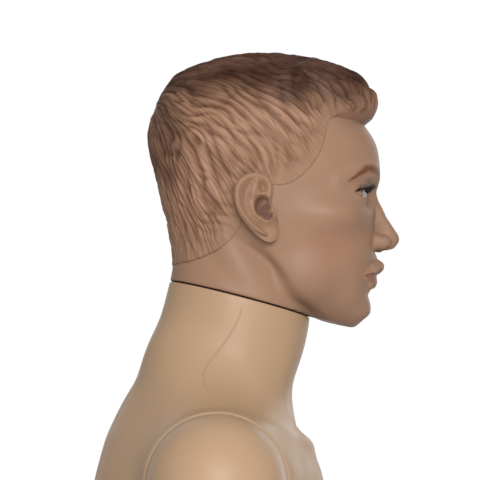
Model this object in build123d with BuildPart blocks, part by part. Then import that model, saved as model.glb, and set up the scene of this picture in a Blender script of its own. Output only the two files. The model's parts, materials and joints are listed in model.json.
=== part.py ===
"""Display torso of a man on a floor stand: a hard shell head that turns and lifts off, a blow-moulded
torso with a tilted neck seam, two upper-arm stumps on turning hubs, and a telescopic post on a round
steel base. Millimetres, +Z up, the face towards -Y, the origin on the floor under the post."""
import os
from math import copysign, cos, pi, radians, sin

from build123d import *

# ---- driving dimensions ---------------------------------------------------------------------
WALL = 3.0                       # moulded shell thickness
SEAM_GAP = 1.0                   # open line between two moulded shells
TORSO_BOTTOM = 620.0             # underside of the torso with the post fully down
SHOULDER = TORSO_BOTTOM + 536.0  # height of the two arm axes
SHOULDER_X = 148.0               # arm seam plane, each side of the middle
ARM_SEAM_R = 62.0
ARMPIT_DROP = 76.0               # armpit, below the arm axis
STUMP_X, STUMP_DROP = 209.5, 186.0
NECK_TILT = 14.5                 # degrees that the neck seam falls towards the face
NECK_POINT = (0, -19.0, SHOULDER + 163.9)

POST_R, POST_WALL = 16.0, 2.0
POST_BOTTOM = 110.0
POST_TOP = TORSO_BOTTOM + 88.0
TUBE_R, TUBE_BORE = 19.0, 17.0
TUBE_TOP = 520.0
FOOT_H, FOOT_R, FOOT_CIRCLE = 10.0, 15.0, 172.0
BASE_R, BASE_T = 200.0, 8.0
BASE_TOP = FOOT_H + BASE_T
RUN = 0.06                       # radial running clearance

EYE_X, EYE_Y, EYE_Z = 32.0, -118.5, SHOULDER + 254.5
EYE_R = 12.0
EAR_Y, EAR_Z = -33.0, SHOULDER + 239.5

# Outlines of the trunk, head and nape: height over the arm axes, front, back, half width, widest.
TRUNK = [
    (-536, -90, 106, 163, 8),    # hips, where the torso is cut off flat
    (-490, -93, 113, 165, 9),
    (-430, -94, 110, 161, 7),
    (-365, -90, 91, 149, 1),
    (-295, -89, 76, 137, -4),    # waist
    (-215, -98, 83, 138, -4),
    (-130, -112, 100, 144, -2),  # chest
    (-55, -112, 111, 145, 2),
    (4, -93, 109, 138, 6),
    (41, -76, 101, 122, 10),
    (73, -65, 85, 92, 10),
    (95, -67, 71, 71, 3),        # foot of the neck
    (126, -77, 57.7, 62.5, -9),
    (155, -82, 49, 60, -16),
    (205, -86, 38, 60, -22),
]
HEAD = [
    (140.5, -124, -90, 18, -106),  # chin
    (149, -132, -60, 36, -90),
    (161, -134, -30, 48, -68),
    (177, -136, 0, 57, -52),
    (198, -138, 31, 65, -40),
    (223, -139, 45, 72.5, -30),
    (249, -140, 50, 77, -26),
    (275, -142, 55, 80, -26),
    (300, -141.5, 60, 82, -28),
    (321, -140, 61, 80, -30),
    (338, -142, 55, 74, -33),
    (352, -138, 47, 66, -35),
    (363, -128, 36, 56, -37),
    (371, -113, 22, 45, -39),
    (377, -97, 7, 33, -41),
    (381, -80, -9, 21, -43),
    (383, -64, -26, 10, -44),      # crown
]
NAPE = [
    (125, -74, 55, 61, -16),
    (160, -81, 46, 60, -18),
    (185, -80, 41, 60, -20),
    (202, -70, 39, 61, -18),
    (230, -55, 44, 62, -12),
]
TRUNK_SQUARENESS, HEAD_SQUARENESS = 2.35, 2.15

# Turning hub shared by the head and the arms, measured outwards from the torso's seam face.
HEX_FLATS, HEX_PLAY, HEX_DEPTH = 16.0, 0.25, 26.0
HUB_HOLE_R = 14.0
STUD_FLANGE_R, STUD_FLANGE_LOW, STUD_FLANGE_HIGH = 12.5, 0.5, 3.1
JOURNAL_R, JOURNAL_END = 9.0, 13.5
THREAD_R, THREAD_END = 5.0, 28.0
PLATE_R, PLATE_T = 38.0, 4.0
BOSS_R, BOSS_T = 17.0, 10.0
SCREW_R, SCREW_CIRCLE = 2.0, 29.0

neck_seam = Plane(origin=NECK_POINT, x_dir=(1, 0, 0),
                  z_dir=(0, -sin(radians(NECK_TILT)), cos(radians(NECK_TILT))))
arm_seams = {
    "left": Plane(origin=(SHOULDER_X, 0, SHOULDER), x_dir=(0, 1, 0), z_dir=(1, 0, 0)),
    "right": Plane(origin=(-SHOULDER_X, 0, SHOULDER), x_dir=(0, 1, 0), z_dir=(-1, 0, 0)),
}


def save(piece, name):
    """Labels one finished piece, writes it to its own file and says how large it is."""
    piece.label = name
    export_step(piece, f"parts/{name}.step")
    print(f"{name:26s} {piece.volume / 1000:9.2f} cm3  {len(piece.solids())} solid(s)")


# ---- moulded shells -------------------------------------------------------------------------
def outline_points(front, back, half_width, widest, squareness, inset):
    """Points round an egg-like outline: half an oval in front of `widest` and half behind it."""
    power, count = 2 / squareness, 20
    points = []
    for step in range(count):
        c, s = cos(2 * pi * step / count), sin(2 * pi * step / count)
        reach = (back - inset - widest) if s > 0 else (widest - front - inset)
        across = copysign(abs(c) ** power, c) * (half_width - inset)
        points.append((across, widest + copysign(abs(s) ** power, s) * reach))
    return points


def body_loft(sections, squareness, inset=0.0):
    """A smooth solid through the given outlines, drawn in by `inset` all round."""
    with BuildPart() as body:
        for height, front, back, half_width, widest in sections:
            with BuildSketch(Plane.XY.offset(SHOULDER + height)):
                with BuildLine():
                    Spline(*outline_points(front, back, half_width, widest, squareness, inset),
                           periodic=True)
                make_face()
        loft()
    return body.part


def shoulder_block(seam, inset=0.0):
    """The round end that carries an arm, from the seam into the chest."""
    with BuildPart() as block:
        for depth, half_depth, half_height in ((0, 62, 62), (26, 71, 66), (62, 84, 73), (100, 80, 76)):
            with BuildSketch(seam.offset(-depth - (inset if depth == 0 else 0))):
                Ellipse(half_depth - inset, half_height - inset)
        loft()
    return block.part


def arm_section_plane(side, angle, reach):
    """A plane that fans round the armpit: upright at 0 degrees and level at 90, `reach` from the armpit."""
    sign = 1 if side == "left" else -1
    out, up = sin(radians(angle)), cos(radians(angle))
    centre = (sign * (SHOULDER_X + SEAM_GAP + out * reach), 0, SHOULDER - ARMPIT_DROP + up * reach)
    return Plane(origin=centre, x_dir=(0, 1, 0), z_dir=(sign * up, 0, -out))


def arm_loft(side, inset=0.0, overrun=0.0):
    """The stump: round at the seam, over the deltoid, down to an oval upper arm cut off level."""
    sign = 1 if side == "left" else -1
    with BuildPart() as arm:
        with BuildSketch(arm_seams[side].offset(SEAM_GAP + inset)):
            Circle(ARM_SEAM_R - inset)
        for angle, near, far, half_depth in ((28, 14, 136, 62.5), (56, 14, 121, 61), (90, 15, 105, 57)):
            with BuildSketch(arm_section_plane(side, angle, (near + far) / 2)):
                Ellipse(half_depth - inset, (far - near) / 2 - inset)
        for drop, half_depth, half_width in ((112, 53.5, 43), (149, 50, 41), (STUMP_DROP + overrun, 47, 39)):
            centre = (sign * STUMP_X, 0, SHOULDER - drop)
            with BuildSketch(Plane(origin=centre, x_dir=(0, 1, 0), z_dir=(0, 0, -1))):
                Ellipse(half_depth - inset, half_width - inset)
        loft()
    return arm.part


def drill_hub(seam, outward, depth=WALL):
    """Cuts the hub's middle hole and three screw holes through a moulded end wall."""
    with BuildSketch(seam) as holes:
        Circle(HUB_HOLE_R)
        with PolarLocations(SCREW_CIRCLE, 3, start_angle=30):
            Circle(SCREW_R)
    extrude(holes.sketch, amount=outward * depth, mode=Mode.SUBTRACT)


def make_torso_shell():
    below_hips = (TRUNK[0][0] - 4, *TRUNK[0][1:])
    with BuildPart() as hollow:
        add(body_loft([below_hips, *TRUNK[1:]], TRUNK_SQUARENESS, WALL))
        for seam in arm_seams.values():
            add(shoulder_block(seam, WALL))
        split(bisect_by=neck_seam.offset(-WALL), keep=Keep.BOTTOM)
    with BuildPart() as shell:
        add(body_loft(TRUNK, TRUNK_SQUARENESS))
        for seam in arm_seams.values():
            add(shoulder_block(seam))
        split(bisect_by=neck_seam, keep=Keep.BOTTOM)
        add(hollow.part, mode=Mode.SUBTRACT)
        for seam in (neck_seam, *arm_seams.values()):
            drill_hub(seam, -1)
        for x, edge, height in side_screw_places():    # screw hole, spot-faced for the head
            with Locations((x, edge, height)):
                Cylinder(SCREW_R, 2 * WALL + 8, rotation=(90, 0, 0), mode=Mode.SUBTRACT)
            with Locations((x, edge + copysign(2.5, edge), height)):
                Cylinder(4.3, 5, rotation=(90, 0, 0), mode=Mode.SUBTRACT)
    return shell.part


def side_screw_places():
    """Middle front and middle back of the torso, where two screws hold the bottom board."""
    height = TORSO_BOTTOM + 7.5
    return [(0, TRUNK[0][1], height), (0, TRUNK[0][2], height)]


# Ridges that stand out of the face's wall: height over the arm axes, foremost point, half width.
NOSE = [
    (261, -140.5, 4), (250, -145, 7.5), (238, -150, 9.5),
    (226, -157, 13), (217, -160.7, 16), (208.5, -155, 15),
]
UPPER_LIP = [(185.5, -139, 16), (190, -146, 22), (196, -141, 8)]
LOWER_LIP = [(174, -137, 10), (180, -142, 19), (185.4, -139, 16)]


def face_ridge(sections, back=-134.5):
    """A small loft of ovals whose backs lie in the face's wall."""
    with BuildPart() as part:
        for height, tip, half_width in sections:
            with BuildSketch(Plane.XY.offset(SHOULDER + height)):
                with Locations((0, (tip + back) / 2)):
                    Ellipse(half_width, (back - tip) / 2)
        loft()
    return part.part


def ear(sign):
    """One ear as a tilted oval block with a hollowed face."""
    face = Plane(origin=(sign * 68, EAR_Y, EAR_Z), x_dir=(0, 1, 0), z_dir=(sign, 0, 0))
    with BuildPart() as part:
        for out, half_depth, half_height in ((0, 14, 27), (12, 16, 30), (19, 15, 29.5)):
            with BuildSketch(face.offset(out)):
                with Locations((out * 0.12, 0)):
                    Ellipse(half_depth, half_height, rotation=sign * 14)
        loft()
        with BuildSketch(face.offset(15)):
            with Locations((1, 3)):
                Ellipse(10, 20, rotation=sign * 14)
        extrude(amount=6, mode=Mode.SUBTRACT)
    return part.part


def make_head_shell():
    top_wall = [(height - (WALL if height > 380 else 0), *rest) for height, *rest in HEAD]
    with BuildPart() as hollow:
        add(body_loft([s for s in top_wall if s[0] > 145], HEAD_SQUARENESS, WALL))
        add(body_loft(NAPE, HEAD_SQUARENESS, WALL))
        split(bisect_by=neck_seam.offset(SEAM_GAP + WALL), keep=Keep.TOP)
        for sign in (1, -1):     # the eyes sit in solid bosses
            with BuildSketch(Plane.XZ.offset(-EYE_Y - EYE_R - 3)):
                with Locations((sign * EYE_X, EYE_Z)):
                    Circle(EYE_R + 7)
            extrude(amount=80, mode=Mode.SUBTRACT)
    with BuildPart() as shell:
        add(body_loft(HEAD, HEAD_SQUARENESS))
        add(body_loft(NAPE, HEAD_SQUARENESS))
        split(bisect_by=neck_seam.offset(SEAM_GAP), keep=Keep.TOP)
        for ridge in (NOSE, UPPER_LIP, LOWER_LIP):
            add(face_ridge(ridge))
        add(hollow.part, mode=Mode.SUBTRACT)
        for sign in (1, -1):
            add(ear(sign))
            with BuildSketch(Plane.XZ.offset(-EYE_Y + 4)):
                with Locations((sign * EYE_X, EYE_Z)):
                    Ellipse(EYE_R + 4, EYE_R + 1)
            extrude(amount=60, mode=Mode.SUBTRACT)
            with Locations((sign * EYE_X, EYE_Y, EYE_Z)):
                Sphere(EYE_R + 0.1, mode=Mode.SUBTRACT)
        drill_hub(neck_seam.offset(SEAM_GAP), 1)
    return shell.part


def make_arm_shell(side):
    seam = arm_seams[side]
    with BuildPart() as shell:
        add(arm_loft(side))
        add(arm_loft(side, WALL, 2), mode=Mode.SUBTRACT)
        drill_hub(seam.offset(SEAM_GAP), 1)
    return shell.part


def make_arm_cap(side):
    """The oval board that closes a stump, just inside its cut edge."""
    sign = 1 if side == "left" else -1
    with BuildPart() as cap:
        with BuildSketch(Plane(origin=(sign * STUMP_X, 0, SHOULDER - STUMP_DROP + 0.5), x_dir=(0, 1, 0))):
            Ellipse(47 - WALL - 0.8, 39 - WALL - 0.8)
        extrude(amount=6)
        chamfer(cap.edges().group_by(Axis.Z)[0], 0.8)
    return cap.part


# ---- turning hub ----------------------------------------------------------------------------
def make_hub(seam):
    """The pieces of one hub as a dictionary: two plates, their screws, the stud and what is on it."""
    behind, inside = seam.offset(-WALL), seam.offset(SEAM_GAP + WALL)
    with BuildPart() as socket:
        with BuildSketch(behind):
            Circle(PLATE_R)
        extrude(amount=-PLATE_T)
        with BuildSketch(behind):
            Circle(BOSS_R)
        extrude(amount=-HEX_DEPTH)
        with BuildSketch(behind):
            RegularPolygon(HEX_FLATS / 2 + HEX_PLAY, 6, major_radius=False)
        extrude(amount=-HEX_DEPTH, mode=Mode.SUBTRACT)
        with BuildSketch(behind):
            with PolarLocations(SCREW_CIRCLE, 3, start_angle=30):
                Circle(SCREW_R)
        extrude(amount=-PLATE_T, mode=Mode.SUBTRACT)
    with BuildPart() as limb_plate:
        with BuildSketch(inside):
            Circle(PLATE_R)
        extrude(amount=PLATE_T)
        with BuildSketch(inside):
            Circle(BOSS_R)
        extrude(amount=BOSS_T)
        with BuildSketch(inside):
            Circle(JOURNAL_R + RUN)
        extrude(amount=BOSS_T, mode=Mode.SUBTRACT)
        with BuildSketch(inside):
            with PolarLocations(SCREW_CIRCLE, 3, start_angle=30):
                Circle(SCREW_R)
        extrude(amount=PLATE_T, mode=Mode.SUBTRACT)
    with BuildPart() as stud:
        with BuildSketch(seam.offset(STUD_FLANGE_LOW)):
            RegularPolygon(HEX_FLATS / 2, 6, major_radius=False)
        extrude(amount=-HEX_DEPTH - 1.5, taper=0.4)
        for low, high, radius in ((STUD_FLANGE_LOW, STUD_FLANGE_HIGH, STUD_FLANGE_R),
                                  (STUD_FLANGE_HIGH, JOURNAL_END, JOURNAL_R),
                                  (JOURNAL_END, THREAD_END, THREAD_R)):
            with BuildSketch(seam.offset(low)):
                Circle(radius)
            extrude(amount=high - low)
    boss_end = SEAM_GAP + WALL + BOSS_T
    with BuildPart() as disc_spring:
        with BuildSketch(seam.offset(boss_end + 1.7)):
            Circle(13)
        with BuildSketch(seam.offset(boss_end + 3.4)):
            Circle(9)
        loft()
        with BuildSketch(seam.offset(boss_end + 1.7)):
            Circle(11)
        with BuildSketch(seam.offset(boss_end + 3.4)):
            Circle(7)
        loft(mode=Mode.SUBTRACT)
    with BuildPart() as nut:
        with BuildSketch(seam.offset(boss_end + 3.5)):
            RegularPolygon(8, 6, major_radius=False)
            Circle(THREAD_R + 0.02, mode=Mode.SUBTRACT)
        extrude(amount=8)
    return {
        "socket_plate": socket.part,
        "socket_screws": hub_screws(seam, -1),
        "hub_plate": limb_plate.part,
        "hub_screws": hub_screws(seam.offset(SEAM_GAP + WALL + PLATE_T), -1),
        "stud": stud.part,
        "thrust_washer": ring(seam.offset(STUD_FLANGE_HIGH + 0.05), JOURNAL_R + 0.1, 12.4, 0.8),
        "friction_washer": ring(seam.offset(boss_end + 0.05), THREAD_R + 0.1, 15, 1.6),
        "disc_spring": disc_spring.part,
        "lock_nut": nut.part,
    }


def hub_screws(face, direction):
    """Three screws round a hub: heads on the face, shanks going along `direction` through wall and plate."""
    length = WALL + PLATE_T
    with BuildPart() as screws:
        with BuildSketch(face):
            with PolarLocations(SCREW_CIRCLE, 3, start_angle=30):
                Circle(SCREW_R)
        extrude(amount=direction * length)
        with BuildSketch(face):
            with PolarLocations(SCREW_CIRCLE, 3, start_angle=30):
                Circle(3.6)
        extrude(amount=-direction * 0.4)
    return screws.part


def ring(plane, bore, radius, thickness):
    """A flat washer standing on a plane."""
    with BuildPart() as washer:
        with BuildSketch(plane):
            Circle(radius)
            Circle(bore, mode=Mode.SUBTRACT)
        extrude(amount=thickness)
    return washer.part


# ---- eyes -----------------------------------------------------------------------------------
def make_eye(sign):
    with BuildPart() as eye:
        with Locations((sign * EYE_X, EYE_Y, EYE_Z)):
            Sphere(EYE_R)
    return eye.part


def make_lash(sign):
    """A curved lash strip over the top of an eye, with a row of short tapering lashes."""
    lift, strip_r, lashes = 4.5, 11.6, 11
    level = Plane(origin=(sign * EYE_X, EYE_Y, EYE_Z + lift))
    with BuildPart() as lash:
        with BuildSketch(level):
            with BuildLine():
                outer = CenterArc((0, 0), strip_r + 0.9, 215, 110)
                inner = CenterArc((0, 0), strip_r, 215, 110)
                Line(outer @ 0, inner @ 0)
                Line(outer @ 1, inner @ 1)
            make_face()
        extrude(amount=0.6)
        for step in range(lashes):
            angle = 219 + 102 * step / (lashes - 1)
            root = level * Pos(0, 0, 0.3) * Rot(0, 0, angle) * Pos(strip_r + 0.4, 0, 0)
            with BuildSketch(Plane(root * Rot(0, 60, 0))):
                Rectangle(0.45, 0.45)
            extrude(amount=5, taper=1.5)
    return lash.part


# ---- stand ----------------------------------------------------------------------------------
def tube(radius, bore, low, high):
    """An upright tube on the post's axis."""
    return ring(Plane.XY.offset(low), bore, radius, high - low)


def make_knob(height, tip, seat):
    """A clamp screw pointing at the post from behind: plain shank, collar and six-lobed grip."""
    with BuildPart() as knob:
        with BuildSketch(Plane.XZ.offset(-tip)):
            with Locations((0, height)):
                Circle(3)
        extrude(amount=-(seat + 12 - tip))
        with BuildSketch(Plane.XZ.offset(-seat - 1)):
            with Locations((0, height)):
                Circle(8)
        extrude(amount=-5)
        with BuildSketch(Plane.XZ.offset(-seat - 6)):
            with Locations((0, height)):
                Circle(17)
                with PolarLocations(21.5, 6):
                    Circle(7.5, mode=Mode.SUBTRACT)
        extrude(amount=-13)
        fillet(knob.faces().sort_by(Axis.Y)[-1].edges(), 2)
    return knob.part


def cross_hole(height, start, end, radius=3.1):
    """Cuts the hole for a clamp screw through whatever stands behind the post."""
    with BuildSketch(Plane.XZ.offset(-start)) as hole:
        with Locations((0, height)):
            Circle(radius)
    extrude(hole.sketch, amount=-(end - start), mode=Mode.SUBTRACT)


HEIGHT_KNOB_Z = TUBE_TOP - 16
SWIVEL_KNOB_Z = TORSO_BOTTOM - 24
KNOB_SEAT = 32.0


def make_clamp_collar():
    with BuildPart() as collar:
        add(tube(27, TUBE_R, TUBE_TOP - 34, TUBE_TOP + 5))
        add(tube(TUBE_R + 0.5, POST_R + 0.5, TUBE_TOP, TUBE_TOP + 5))
        with BuildSketch(Plane.XZ.offset(-22)):
            with Locations((0, HEIGHT_KNOB_Z)):
                Circle(9)
        extrude(amount=-(KNOB_SEAT - 22))
        fillet(collar.edges().filter_by(GeomType.CIRCLE).filter_by(lambda e: e.radius > 26.9), 1.5)
        cross_hole(HEIGHT_KNOB_Z, 15, KNOB_SEAT + 1)
    return collar.part


def make_post_socket():
    """Sleeve and flange that carry the torso on the post, with a boss for the swivel knob."""
    with BuildPart() as socket:
        add(tube(20.5, POST_R + RUN, TORSO_BOTTOM - 46, TORSO_BOTTOM + 96))
        add(tube(52, POST_R + RUN, TORSO_BOTTOM + 15, TORSO_BOTTOM + 19))
        with BuildSketch(Plane.XZ.offset(-19)):
            with Locations((0, SWIVEL_KNOB_Z)):
                Circle(9)
        extrude(amount=-(KNOB_SEAT - 19))
        cross_hole(SWIVEL_KNOB_Z, 10, KNOB_SEAT + 1)
        with Locations((0, 0, TORSO_BOTTOM + 17)):
            with PolarLocations(42, 4, start_angle=45):
                Cylinder(2.5, 6, mode=Mode.SUBTRACT)
    return socket.part


def make_bottom_board():
    front, back, half_width, widest = TRUNK[0][1:]
    with BuildPart() as board:
        with BuildSketch(Plane.XY.offset(TORSO_BOTTOM)):
            with BuildLine():
                Spline(*outline_points(front, back, half_width, widest, TRUNK_SQUARENESS, WALL + 0.4),
                       periodic=True)
            make_face()
            Circle(21, mode=Mode.SUBTRACT)
        extrude(amount=15)
        with Locations((0, 0, TORSO_BOTTOM + 11)):
            with PolarLocations(42, 4, start_angle=45):
                Cylinder(2.5, 8, mode=Mode.SUBTRACT)
        for _, edge, height in side_screw_places():
            inward = copysign(1, edge)
            with Locations((0, edge - inward * 13.5, height)):
                Cylinder(SCREW_R, 21, rotation=(90, 0, 0), mode=Mode.SUBTRACT)
    return board.part


def make_board_screws():
    """Two screws through the hips, front and back, into the bottom board."""
    with BuildPart() as screws:
        for _, edge, height in side_screw_places():
            inward = copysign(1, edge)
            with Locations((0, edge - inward * 9, height)):
                Cylinder(SCREW_R, 18.6, rotation=(90, 0, 0))
            with Locations((0, edge + inward * 0.6, height)):
                Cylinder(4, 1.2, rotation=(90, 0, 0))
    return screws.part


def polar_bolts(count, circle, shank_r, low, high, head_r, head_t, start=45.0, head_down=False):
    """Upright fasteners in a ring, their heads on top or underneath."""
    with BuildPart() as bolts:
        with PolarLocations(circle, count, start_angle=start):
            with Locations((0, 0, (low + high) / 2)):
                Cylinder(shank_r, high - low)
            with Locations((0, 0, low - head_t / 2 if head_down else high + head_t / 2)):
                Cylinder(head_r, head_t)
    return bolts.part


def make_base_plate():
    with BuildPart() as plate:
        add(tube(BASE_R, 5.2, FOOT_H, BASE_TOP))
        fillet(plate.edges().filter_by(GeomType.CIRCLE).filter_by(lambda e: e.radius > 190), 2.5)
        with PolarLocations(36, 3, start_angle=30):
            with Locations((0, 0, BASE_TOP - 3)):
                Cylinder(2.5, 6, mode=Mode.SUBTRACT)
        with PolarLocations(FOOT_CIRCLE, 4, start_angle=45):
            with Locations((0, 0, FOOT_H + 3)):
                Cylinder(2.5, 6, mode=Mode.SUBTRACT)
    return plate.part


def make_feet():
    with BuildPart() as feet:
        with PolarLocations(FOOT_CIRCLE, 4, start_angle=45):
            with Locations((0, 0, FOOT_H / 2)):
                Cylinder(FOOT_R, FOOT_H)
        chamfer(feet.edges().group_by(Axis.Z)[0], 1.5)
        with PolarLocations(FOOT_CIRCLE, 4, start_angle=45):
            with Locations((0, 0, FOOT_H / 2)):
                Cylinder(2.5, FOOT_H, mode=Mode.SUBTRACT)
            with Locations((0, 0, 2)):
                Cylinder(6, 4, mode=Mode.SUBTRACT)
    return feet.part


def make_base_socket():
    with BuildPart() as socket:
        add(tube(48, 5.2, BASE_TOP, BASE_TOP + 6))
        add(tube(25, TUBE_R, BASE_TOP + 6, BASE_TOP + 66))
        fillet(socket.edges().filter_by(GeomType.CIRCLE)
               .filter_by(lambda e: abs(e.radius - 25) < 0.01).group_by(Axis.Z)[0], 4)
        chamfer(socket.edges().filter_by(GeomType.CIRCLE)
                .filter_by(lambda e: abs(e.radius - 25) < 0.01).group_by(Axis.Z)[-1], 1.5)
        with PolarLocations(36, 3, start_angle=30):
            with Locations((0, 0, BASE_TOP + 3)):
                Cylinder(2.5, 6, mode=Mode.SUBTRACT)
    return socket.part


def make_outer_tube():
    with BuildPart() as outer:
        add(tube(TUBE_R, TUBE_BORE, BASE_TOP + 6, TUBE_TOP))
        cross_hole(HEIGHT_KNOB_Z, 10, 24)
    return outer.part


def make_guide_bush():
    with BuildPart() as bush:
        add(tube(TUBE_BORE, POST_R + RUN, TUBE_TOP - 80, TUBE_TOP))
        cross_hole(HEIGHT_KNOB_Z, 10, 24)
    return bush.part


def make_post_plug():
    """Rounded plug in the post's top, which the torso's cap turns on."""
    with BuildPart() as plug:
        with Locations((0, 0, POST_TOP - 8)):
            Cylinder(POST_R - POST_WALL, 16)
        with Locations((0, 0, POST_TOP + 1.5)):
            Cylinder(POST_R, 3)
        fillet(plug.edges().group_by(Axis.Z)[-1], 1.5)
    return plug.part


def make_base_bolt():
    with BuildPart() as bolt:
        with BuildSketch(Plane.XY.offset(2)):
            RegularPolygon(8.5, 6, major_radius=False)
        extrude(amount=6.2)
        with BuildSketch(Plane.XY.offset(8.2)):
            Circle(5)
        extrude(amount=38)
    return bolt.part


# ---- build everything -----------------------------------------------------------------------
def main():
    os.makedirs("parts", exist_ok=True)
    save(make_torso_shell(), "torso_shell")
    save(make_bottom_board(), "torso_bottom_board")
    save(make_board_screws(), "bottom_board_screws")
    save(make_post_socket(), "post_socket")
    save(polar_bolts(4, 42, 2.5, TORSO_BOTTOM + 7.2, TORSO_BOTTOM + 19, 4.5, 2.4), "post_socket_screws")
    save(tube(20.5, 0.01, TORSO_BOTTOM + 96, TORSO_BOTTOM + 100), "post_socket_cap")
    save(make_knob(SWIVEL_KNOB_Z, POST_R + 0.3, KNOB_SEAT), "swivel_knob")
    save(make_head_shell(), "head_shell")
    for name, sign in (("left", 1), ("right", -1)):
        save(make_eye(sign), f"{name}_eye")
        save(make_lash(sign), f"{name}_eyelashes")
    seams = {"neck": neck_seam, "left_arm": arm_seams["left"], "right_arm": arm_seams["right"]}
    for limb, seam in seams.items():
        for piece, part in make_hub(seam).items():
            save(part, f"{limb}_{piece}")
    for side in arm_seams:
        save(make_arm_shell(side), f"{side}_arm_shell")
        save(make_arm_cap(side), f"{side}_arm_cap")
    save(tube(POST_R, POST_R - POST_WALL, POST_BOTTOM, POST_TOP), "inner_post")
    save(make_post_plug(), "post_top_plug")
    save(tube(TUBE_BORE - RUN, 6, POST_BOTTOM - 12, POST_BOTTOM), "post_slide_foot")
    save(make_outer_tube(), "outer_tube")
    save(make_guide_bush(), "guide_bush")
    save(make_clamp_collar(), "clamp_collar")
    save(make_knob(HEIGHT_KNOB_Z, POST_R + 0.3, KNOB_SEAT), "height_knob")
    save(make_base_socket(), "base_socket")
    save(polar_bolts(3, 36, 2.5, BASE_TOP - 6, BASE_TOP + 6, 4.5, 2.6, start=30), "base_socket_screws")
    save(tube(TUBE_BORE, 5, BASE_TOP + 6, BASE_TOP + 34), "tube_foot_plug")
    save(make_base_plate(), "base_plate")
    save(make_base_bolt(), "base_bolt")
    save(tube(11, 5.2, FOOT_H - 1.8, FOOT_H), "base_bolt_washer")
    save(make_feet(), "rubber_feet")
    save(polar_bolts(4, FOOT_CIRCLE, 2.5, 4, FOOT_H + 6, 5, 2, head_down=True), "foot_screws")


if __name__ == "__main__":
    main()
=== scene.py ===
"""Display torso of a man with a turning head on a telescopic floor stand.
The face looks towards -Y and the mannequin's left hand side is +X; heights inside the modelling
helpers are millimetres above the two arm axes."""
import json
import math

import bmesh
import bpy
import numpy as np
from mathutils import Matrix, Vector


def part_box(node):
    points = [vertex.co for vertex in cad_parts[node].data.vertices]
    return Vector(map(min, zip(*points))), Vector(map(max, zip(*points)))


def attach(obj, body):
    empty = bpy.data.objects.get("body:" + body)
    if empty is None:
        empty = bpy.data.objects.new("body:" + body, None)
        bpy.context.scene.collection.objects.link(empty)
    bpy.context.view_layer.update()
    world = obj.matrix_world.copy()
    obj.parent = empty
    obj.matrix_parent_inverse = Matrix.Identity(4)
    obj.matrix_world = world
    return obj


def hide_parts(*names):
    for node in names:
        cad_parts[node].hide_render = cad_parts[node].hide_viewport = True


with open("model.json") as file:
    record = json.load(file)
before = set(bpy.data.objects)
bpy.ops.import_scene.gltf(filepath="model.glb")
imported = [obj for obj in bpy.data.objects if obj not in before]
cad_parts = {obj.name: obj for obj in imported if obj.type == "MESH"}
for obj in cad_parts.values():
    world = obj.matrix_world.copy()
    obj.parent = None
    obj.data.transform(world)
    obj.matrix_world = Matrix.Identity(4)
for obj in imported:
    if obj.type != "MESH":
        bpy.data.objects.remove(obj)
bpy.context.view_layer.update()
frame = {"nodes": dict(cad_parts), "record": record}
nodes = frame["nodes"]
scene = bpy.context.scene

MM = 0.001
ARM_AXIS = (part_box("left_arm_stud")[0].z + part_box("left_arm_stud")[1].z) / 2
NECK_TILT = math.radians(14.5)
SEAM_MIDDLE = (-19.0, 163.9)          # y and height of the neck seam's centre, mm
HEAD_CENTRE = np.array([0.0, -38.0, 245.0])


# ---------------------------------------------------------------- camera, lights, world
def aim(thing, target):
    thing.rotation_euler = (Vector(target) - thing.location).to_track_quat("-Z", "Y").to_euler()


camera = bpy.data.objects.new("camera", bpy.data.cameras.new("camera"))
scene.collection.objects.link(camera)
camera.location = (-3.0, -0.0195, 1.155)
aim(camera, (0.0, -0.0195, 1.3731))
camera.data.lens = 254.5
camera.data.sensor_width = 36
scene.camera = camera


def softbox(name, place, target, width, height, watts, colour=(1, 1, 1)):
    lamp = bpy.data.lights.new(name, "AREA")
    lamp.shape, lamp.size, lamp.size_y = "RECTANGLE", width, height
    lamp.energy, lamp.color = watts, colour
    holder = bpy.data.objects.new(name, lamp)
    scene.collection.objects.link(holder)
    holder.location = place
    aim(holder, target)


softbox("top_softbox", (0.4, -0.3, 3.2), (0, 0, 1.2), 2.2, 2.2, 4)
softbox("side_softbox", (-2.7, -0.25, 2.1), (0, 0, 1.3), 1.5, 1.5, 91)
softbox("far_softbox", (2.4, -1.6, 2.0), (0, 0, 1.2), 1.8, 1.8, 10)

world = bpy.data.worlds.new("studio")
scene.world = world
world.use_nodes = True
world.node_tree.nodes["Background"].inputs["Color"].default_value = (1.0, 0.995, 0.985, 1)
world.node_tree.nodes["Background"].inputs["Strength"].default_value = 0.43
scene.view_settings.view_transform = "Standard"


# ---------------------------------------------------------------- number helpers
def smooth_curve(table, blur=5.0):
    """A function through (position, value, ...) rows, rounded over `blur`; it gives one array a column."""
    rows = np.array(sorted(table), float)
    per_blur = 150                        # samples in one blur width; the weights reach three widths
    step, taps = blur / per_blur, 3 * per_blur
    at = np.arange(rows[0, 0] - 4 * blur, rows[-1, 0] + 4 * blur, step)
    weight = np.exp(-0.5 * (np.arange(-taps, taps + 1) / per_blur) ** 2)
    columns = []
    for column in rows[:, 1:].T:
        line = np.interp(at, rows[:, 0], column)
        start_slope = (column[1] - column[0]) / (rows[1, 0] - rows[0, 0])
        end_slope = (column[-1] - column[-2]) / (rows[-1, 0] - rows[-2, 0])
        line = np.where(at < rows[0, 0], column[0] + (at - rows[0, 0]) * start_slope, line)
        line = np.where(at > rows[-1, 0], column[-1] + (at - rows[-1, 0]) * end_slope, line)
        columns.append(np.convolve(np.pad(line, taps, mode="edge"), weight / weight.sum(), mode="valid"))

    def curve(where):
        where = np.clip(where, rows[0, 0], rows[-1, 0])
        return [np.interp(where, at, column) for column in columns]
    return curve


def soft_min(a, b, k):
    h = np.clip(0.5 + 0.5 * (b - a) / k, 0, 1)
    return b * (1 - h) + a * h - k * h * (1 - h)


def soft_max(a, b, k):
    return -soft_min(-a, -b, k)


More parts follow.
